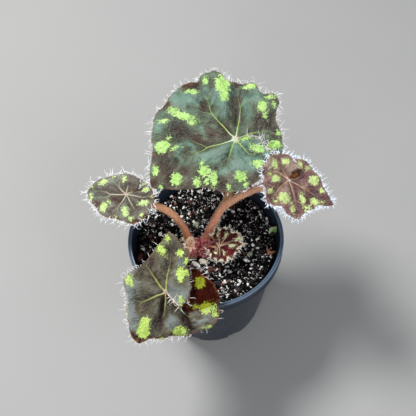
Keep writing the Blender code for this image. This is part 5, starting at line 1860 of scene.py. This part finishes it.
RIGHT_BLADE = Blade(
    name="right",
    seat=(51.4, 4.8, 134.8),
    lean=(0.2, -0.24),
    heading=-30.3,
    margin=(
        (92, 7.6), (100, 11.2), (108, 14.2), (125, 16.4), (146, 17.9), (156, 17.8), (168, 16.7), (196, 16.6),
        (208, 15.1), (222, 16.2), (233, 15.9), (248, 18.2), (257, 20.4), (266, 20), (278, 18.1), (286, 19.4),
        (290, 21.6), (298, 22.5), (305, 24.3), (310, 24.6), (316, 22.8), (326, 21.8), (337, 22.4),
        (346, 22.8), (353, 26), (359, 29.8), (363, 27.6), (372, 23.4), (382, 21.1), (395, 19.6), (407, 17.6),
        (420, 17), (430, 17.2), (452, 15.6), (468, 14), (478, 11.2), (486, 7.6),
    ),
    veins=(140, 183, 250, 310, 358, 383, 416),
    cup=2,
    twist=(4, 4),
    lift=(0.9, -0.5),
    ribs=(
        ((154, 0.9), (146, 5.9), (146, 9.9), (144, 15.1)), ((169, 2.1), (171, 7), (181, 10.7), (192, 14.7)),
        ((228, 1), (249, 6.3), (255, 11.9), (256, 15.9)), ((351, 1.5), (317, 6.5), (314, 11.8), (309, 20.1)),
        ((408, 0.6), (365, 4.9), (362, 9), (361, 12.8), (360, 17.1), (358, 23.3), (359, 28.4)),
        ((361, 9.8), (350, 13.9), (341, 19.1)), ((362, 9), (366, 12.1), (372, 14.8)),
        ((425, 1.6), (409, 5), (413, 7.9)), ((254, 6.3), (243, 9.3), (228, 13)),
    ),
    blotches=(
        (160, 12.7, 2.8, 1.9, 120), (127, 11.5, 2.1, 1.9, 120), (442, 12.7, 2, 1.1, 120),
        (424, 14.2, 1.4, 1.4, 30), (194, 11.7, 1.7, 1.2, 30), (210, 8.2, 2.6, 2.6, 120),
        (391, 15.4, 3.3, 2.9, 30), (372, 20.4, 2, 1.5, 120), (243, 13.8, 1.9, 1.8, 30),
        (282, 12.3, 3.6, 3.4, 120), (303, 18.3, 2.8, 1.3, 120), (331, 14, 3.2, 1.4, 120),
        (326, 19.1, 2.4, 1.1, 120), (332, 20.1, 2, 0.8, 120), (347, 20, 3, 2, 120), (354, 23.4, 1.2, 1.1, 30),
        (265, 16.8, 1, 0.9, 120),
    ),
    # The last two tone marks paint, in rust, the orange light that shows through the funnel at the seat.
    tones=(
        (263, 11.2, 5, 4.4, 120, -0.8), (379, 5, 3.6, 2, 30, 1), (325, 7.7, 5, 1.4, 120, 0.9),
        (163, 15.5, 10, 6, 0, -1.3), (108, 9.8, 6, 5, 90, -1.2), (468, 9.8, 6, 5, 90, -1.2),
        (265, 5.7, 6, 4, 90, -0.5), (375, 6.9, 6, 2.2, 175, -1.2), (304, 11.6, 6, 2, 130, -1.2),
        (347, 13, 5, 1.6, 150, -0.9), (165, 13.4, 5, 2, 90, -0.6), (430, 6.2, 3.8, 1.5, 64, 3.4),
        (446, 3.6, 2.2, 1.2, 90, 3.4),
    ),
    folds=(
        (434, 2.9, 423, 8.3, 2.4, -2.2), (402, 9.4, 385, 10.7, 4, 0.6), (350, 14.2, 346, 17.6, 2, -0.6),
    ),
    finish=RED,
    lash=Hair((2.4, 4.8), 0.34, 1.0, 0.8, 6),
    lash_gap=0.40,
    rib_width=(0.24, 0.07),
    crumple=0.6,
    tooth=(1.8, 0.6),
    bare=((90, 102, 0), (476, 488, 0), (146, 250, 0.45)),
)

FRONT_BLADE = Blade(
    name="front",
    seat=(-25.6, -44.5, 100),
    lean=(-0.1, -0.22),
    heading=-126.7,
    margin=(
        (72, 8.6), (73, 11.2), (75, 13.2), (88, 14.1), (97, 15.4), (118, 14.8), (127, 15.7), (141, 15.6),
        (156, 16.9), (165, 18.8), (173, 20.3), (177, 25.6), (181, 27.6), (193, 30.3), (205, 36.4), (210, 38),
        (213, 37.5), (216, 34.5), (222, 30.7), (231, 27), (243, 24.3), (256, 23.4), (274, 26.7), (281, 27.6),
        (306, 23.8), (324, 25.9), (339, 28), (347, 31), (359, 33.3), (363, 32.6), (367, 30.1), (373, 27.5),
        (389, 26.5), (395, 25.2), (405, 25.6), (414, 27), (433, 29.6), (446, 33.7), (459, 33.4), (492, 28.6),
        (511, 23.2), (518, 24.2), (525, 22.8), (530, 20.5),
    ),
    veins=(118, 208, 249, 328, 360, 410, 458),
    cup=-5,
    twist=(0, 114),
    lift=(4, -4),
    ribs=(
        ((211, 0.3), (254, 5.6), (249, 12.7), (248, 20.9), (256, 21.8)), ((248, 20.9), (245, 22.6)),
        ((219, 1.7), (209, 6.9), (207, 13.2), (205, 19.7), (208, 26.9)), ((207, 12.9), (194, 15.7)),
        ((326, 2.1), (321, 8.5), (320, 15.6), (311, 19.5)), ((320, 15.6), (330, 20)),
        ((392, 2.1), (385, 7.3), (384, 14.3)),
        ((432, 1.5), (427, 6.7), (431, 12.6), (434, 19.4), (433, 24.6)), ((434, 19.4), (446, 26.2)),
    ),
    blotches=(
        (219, 26.8, 4.2, 2.1, 62), (212, 33.9, 2.2, 1.2, 37), (193, 25.7, 2.5, 2.5, 67),
        (178, 22.1, 1.7, 1.5, 37), (169, 13.4, 4.7, 2.6, 37), (161, 17.1, 1.7, 1.2, 37),
        (281, 23.9, 3, 2.2, 37), (286, 21.8, 1.7, 1.2, 37), (91, 11.3, 2.4, 1.2, 37),
        (359, 25.2, 4.7, 3.8, 37), (354, 20.4, 2.7, 2.5, 147), (411, 23.8, 4, 2.5, 127),
        (386, 27.4, 2.2, 1.2, 127), (325, 26.3, 2.2, 0.7, 37), (500, 20.5, 3.5, 3.2, 37),
        (460, 25.2, 4.2, 3.3, 127), (455, 19.3, 2, 1.1, 127), (457, 30.7, 1.7, 1.7, 127),
        (442, 32.9, 2.7, 1.2, 127), (464, 29.7, 2.2, 1, 37),
    ),
    tones=(
        (311, 23.3, 18, 2, 37, -1.3), (300, 18.8, 6.9, 3.2, 17, -0.9), (114, 6.1, 5.5, 5.4, 77, -1),
        (399, 15.7, 5.5, 5.4, 37, -0.8), (234, 18.4, 6.9, 3.7, 37, 0.6), (318, 20.5, 4.4, 3.5, 37, 0.7),
        (364, 31.5, 4.9, 2.2, 127, 1.2), (375, 27.3, 9.9, 1.4, 127, 0.7), (443, 26, 8.2, 3.6, 137, -1.2),
        (427, 18.7, 4.4, 2.7, 67, 1.2), (489, 22.5, 12.2, 10.6, 37, 2.3), (519, 20.6, 4.2, 3.7, 37, 2),
        (470, 25.7, 8.2, 4.4, 127, 1.4), (428, 27.9, 9.9, 1.7, 122, 0.9), (84, 27.2, 9, 4.5, 145, 1.5),
        (444, 27.2, 9, 4.5, 145, 1.5), (94, 27.5, 6, 3, 147, 0.8), (454, 27.5, 6, 3, 147, 0.8),
        (316, 21.8, 13, 2.4, 40, -2.1), (401, 25.8, 5, 1.4, 137, 3.2), (190, 18.9, 15, 8, 47, 0.9),
        (251, 25.9, 8, 2.4, 169, -2.4), (292, 9.7, 8, 6, 37, 0.8), (185, 20.1, 4, 3, 47, -1.8),
        (377, 11.3, 11, 1.1, 27, 2.4), (68, 22.8, 6, 1.3, 49, 2.4), (428, 22.8, 6, 1.3, 49, 2.4),
        (82, 6.2, 8, 1.4, 80, -3), (442, 6.2, 8, 1.4, 80, -3), (296, 23.4, 26, 2.2, 40, -1.6),
        (242, 22.2, 9, 3, 57, 0.6), (80, 26.3, 6, 1.2, 142, -2), (440, 26.3, 6, 1.2, 142, -2),
        (70, 27.9, 7, 1, 139, -1.8), (430, 27.9, 7, 1, 139, -1.8), (180, 11.7, 6, 1.5, 47, -1.4),
        (540, 11.7, 6, 1.5, 47, -1.4), (358, 32.4, 3.2, 2.2, 0, 3.4), (351, 32, 3, 2, 0, 3.2),
        (371, 30, 4, 2, 0, 2.2), (399, 25.4, 2.6, 1.6, 0, 3.2), (409, 25.1, 2.6, 1.6, 0, 3),
    ),
    folds=(
        (373, 5.7, 380, 18.6, 3, -2), (380, 18.6, 371, 25.6, 3, -1.2), (392, 17.9, 416, 18.2, 4, 1.2),
        (277, 25.5, 340, 28.8, 4, 1), (286, 10.9, 271, 4.4, 3, 0.6), (184, 6.5, 101, 9.8, 4, 1),
        (192, 18.4, 198, 11.9, 3, 0.7), (314, 19.7, 306, 22.3, 3, -0.6), (427, 17.7, 426, 24.9, 3, -2),
        (436, 22.6, 450, 30.5, 4, 1.5),
    ),
    finish=SMOKE,
    lash=Hair((2.4, 6.0), 0.2, 1.4, 1.0, 7),
    lash_gap=0.95,
    rib_width=(0.44, 0.1),
    crumple=1.0,
    tooth=(2.8, 0.45),
    bare_sinus=0.35,
    bare=((102, 186, 0.1), (190, 262, 0.12), (425, 500, 0.2)),
    shaded=SHADED,
    shaded_from=477,
    ridges=(((78, 1.4), (74, 4), (73, 6.4), (73, 8.4), (74, 10.6), (76, 12.6)),),
)

YOUNG_BLADE = Blade(
    name="young",
    seat=(8.3, -12, 92),
    lean=(0.08, -0.15),
    heading=22.3,
    margin=(
        (160, 7.4), (180, 8.6), (196, 8.2), (220, 9.4), (238, 8.8), (262, 10.2), (282, 9.2), (302, 11.6),
        (318, 11), (336, 13.4), (350, 12.4), (372, 14), (384, 12.4), (402, 13.2), (418, 11.2), (436, 11),
        (450, 9.2), (464, 8.3),
    ),
    veins=(190, 242, 313, 348, 400, 435),
    cup=4.5,
    twist=(0, 0),
    lift=(0.6, -0.6),
    ribs=(
        ((462, 0.4), (427, 4.5), (431, 8.8)), ((462, 0.4), (372, 3.5), (358, 9.4)),
        ((462, 0.4), (358, 5), (333, 8.6)), ((462, 0.4), (244, 5.9)), ((462, 0.4), (197, 4.5)),
        ((462, 0.4), (481, 3.9)), ((462, 0.4), (396, 5.8), (402, 10)),
    ),
    blotches=(
        (395, 8.6, 2.2, 0.9, 38), (356, 11.1, 1.5, 1.1, 158), (339, 7.6, 1.8, 1.3, 158),
        (215, 4.9, 1.3, 0.9, 68), (277, 4.9, 1.1, 0.9, 68), (430, 8.8, 1.7, 0.5, 68),
        (492, 5.1, 0.9, 0.8, 68),
    ),
    tones=(
        (389, 11.1, 3, 2.5, 158, 1), (447, 8.6, 2.5, 2.2, 68, 1), (224, 3, 3, 1.7, 158, -0.8),
    ),
    folds=(),
    finish=YOUNG_RED,
    lash=Hair((1.8, 4.0), 0.19, 1.4, 1.3, 6),
    lash_gap=0.30,
    rib_width=(0.24, 0.08),
    crumple=0.5,
    tooth=(4.6, 3.0),
)

SALMON = StalkFinish("salmon", (0.64, 0.22, 0.11), (0.72, 0.33, 0.16), (0.76, 0.46, 0.26))
TERRACOTTA = StalkFinish("terracotta", (0.60, 0.17, 0.11), (0.76, 0.35, 0.20), (0.84, 0.55, 0.36))
AMBER = StalkFinish("amber", (0.46, 0.16, 0.08), (0.54, 0.28, 0.10), (0.52, 0.30, 0.07))
RED_STALK = StalkFinish("red_stalk", (0.20, 0.018, 0.018), (0.26, 0.035, 0.028), (0.40, 0.12, 0.08))
PALE_STALK = StalkFinish("pale_stalk", (0.40, 0.10, 0.07), (0.46, 0.20, 0.12), (0.50, 0.30, 0.18))

# Each blade with its stalk: points from the crown up, radii at the foot and the top, and finish
PLANT = (
    (BACK_BLADE, ((3.4, 5.2, 79), (6.4, 9.4, 86.5), (12, 15, 95.5), (16.4, 18, 104), (20.4, 24, 120)),
     (2.3, 2), AMBER),
    (LEFT_BLADE,
     ((-10.4, 1.7, 79), (-13.9, 6.6, 89), (-20, 10.7, 99), (-29.9, 13.8, 106), (-39.5, 16.4, 109.5)),
     (2.4, 1.9), SALMON),
    (RIGHT_BLADE,
     ((-0.6, 0.4, 79.5), (2.4, 2.8, 87.6), (6.8, 5.2, 96.6), (12.5, 7.6, 107), (24.1, 7.4, 119.1),
      (37.7, 7.2, 127.3), (46.4, 5.8, 131.4)),
     (2.5, 1.9), TERRACOTTA),
    (FRONT_BLADE, ((-6.6, -7.6, 79.5), (-12.6, -15.4, 87.5), (-18.2, -28, 92.5), (-22.4, -39.4, 95.5)),
     (2.1, 1.8), RED_STALK),
    (YOUNG_BLADE, ((1.4, -5.2, 79.5), (3.2, -7.4, 84), (6.2, -10.2, 88)), (1.3, 1), PALE_STALK),
)

# The pale stone's glow is painted light that lifts it out of the blades' shade.
PALE_STONE = LumpFinish("pale_stone", (1.0, 1.0, 0.93), (0.84, 0.92, 0.74), 1.2, 0.4, glow=0.2)
CREAM_STONE = LumpFinish("cream_stone", (0.88, 0.85, 0.74), (0.58, 0.50, 0.38), 1.6, 0.4)
RED_BARK = LumpFinish("red_bark", (0.30, 0.09, 0.07), (0.03, 0.008, 0.008), 0.8, 0.5, span=(0.4, 0.75))
GREEN_GRAIN = LumpFinish("green_grain", (0.72, 0.76, 0.58), (0.03, 0.13, 0.04), 0.9, 0.5)
SPROUT = BladeFinish(
    name="sprout", slot=Slot.LEAFLET,
    teal=(0.10, 0.25, 0.05), base=(0.10, 0.25, 0.05), brown=(0.08, 0.20, 0.04), dark=(0.06, 0.15, 0.03),
    rim=(0.50, 0.66, 0.38), lime=(0.14, 0.34, 0.06), lime_pale=(0.30, 0.52, 0.14), vein=(0.5, 0.6, 0.3),
    seat=(0.5, 0.6, 0.3), under=(0.3, 0.4, 0.2), hair=(0.9, 0.9, 0.9), ragged=0.5,
)
BROWN_CURL = LumpFinish("brown_curl", (0.60, 0.27, 0.14), (0.20, 0.07, 0.04), 1.0, 0.4)

LITTER = (
    Lump("pebble_left", -7.3, -15.4, (3.5, 1.4, 1.4), -42.0, 0.7, Slot.PEBBLE, PALE_STONE),
    Lump("pebble_right", -2.7, -13.9, (3.0, 1.8, 1.6), -32.0, 0.7, Slot.PEBBLE, CREAM_STONE),
    Lump("bark_chip_left", -43.0, -7.0, (3.2, 1.8, 1.1), 70.0, 0.5, Slot.BARK, RED_BARK, 0.45),
    Lump("bark_chip_front", 1.5, -20.5, (4.4, 2.0, 1.1), 12.0, 0.5, Slot.BARK, RED_BARK, 0.45),
    Lump("green_grain_right", 27.6, -11.4, (2.2, 1.6, 1.2), 20.0, 0.5, Slot.GRAIN, GREEN_GRAIN, 0.6),
    Lump("green_grain_back", -5.7, 15.0, (2.7, 1.6, 1.2), 35.0, 0.5, Slot.GRAIN, GREEN_GRAIN, 0.5),
    Leaflet("fallen_leaflet", ((41.8, 1.6), (44.3, 4.0), (46.4, 6.0)), (0.7, 1.9, 3.4), (0.9, 2.4, 2.2, 0.2),
            (-0.7, -0.66, 0), SPROUT),
    Flake("bark_curl", ((38.3, -7.4), (39.6, -12.4), (44.4, -11.0)), 1.9, 2.2, Slot.BARK, BROWN_CURL),
)


def build_plant() -> None:
    """Build every piece of the plant, its pot and the studio, in order."""
    Pot().build()
    Soil().build(LITTER)
    Crown().build()
    for blade, line, radii, finish in PLANT:
        blade.build()
        Stalk(blade.name, line, radii, blade, finish).build()
    for piece in LITTER:
        piece.build()
    Studio().build()


def main() -> None:
    """Dress the frame."""
    build_plant()


if __name__ == "__main__":
    main()
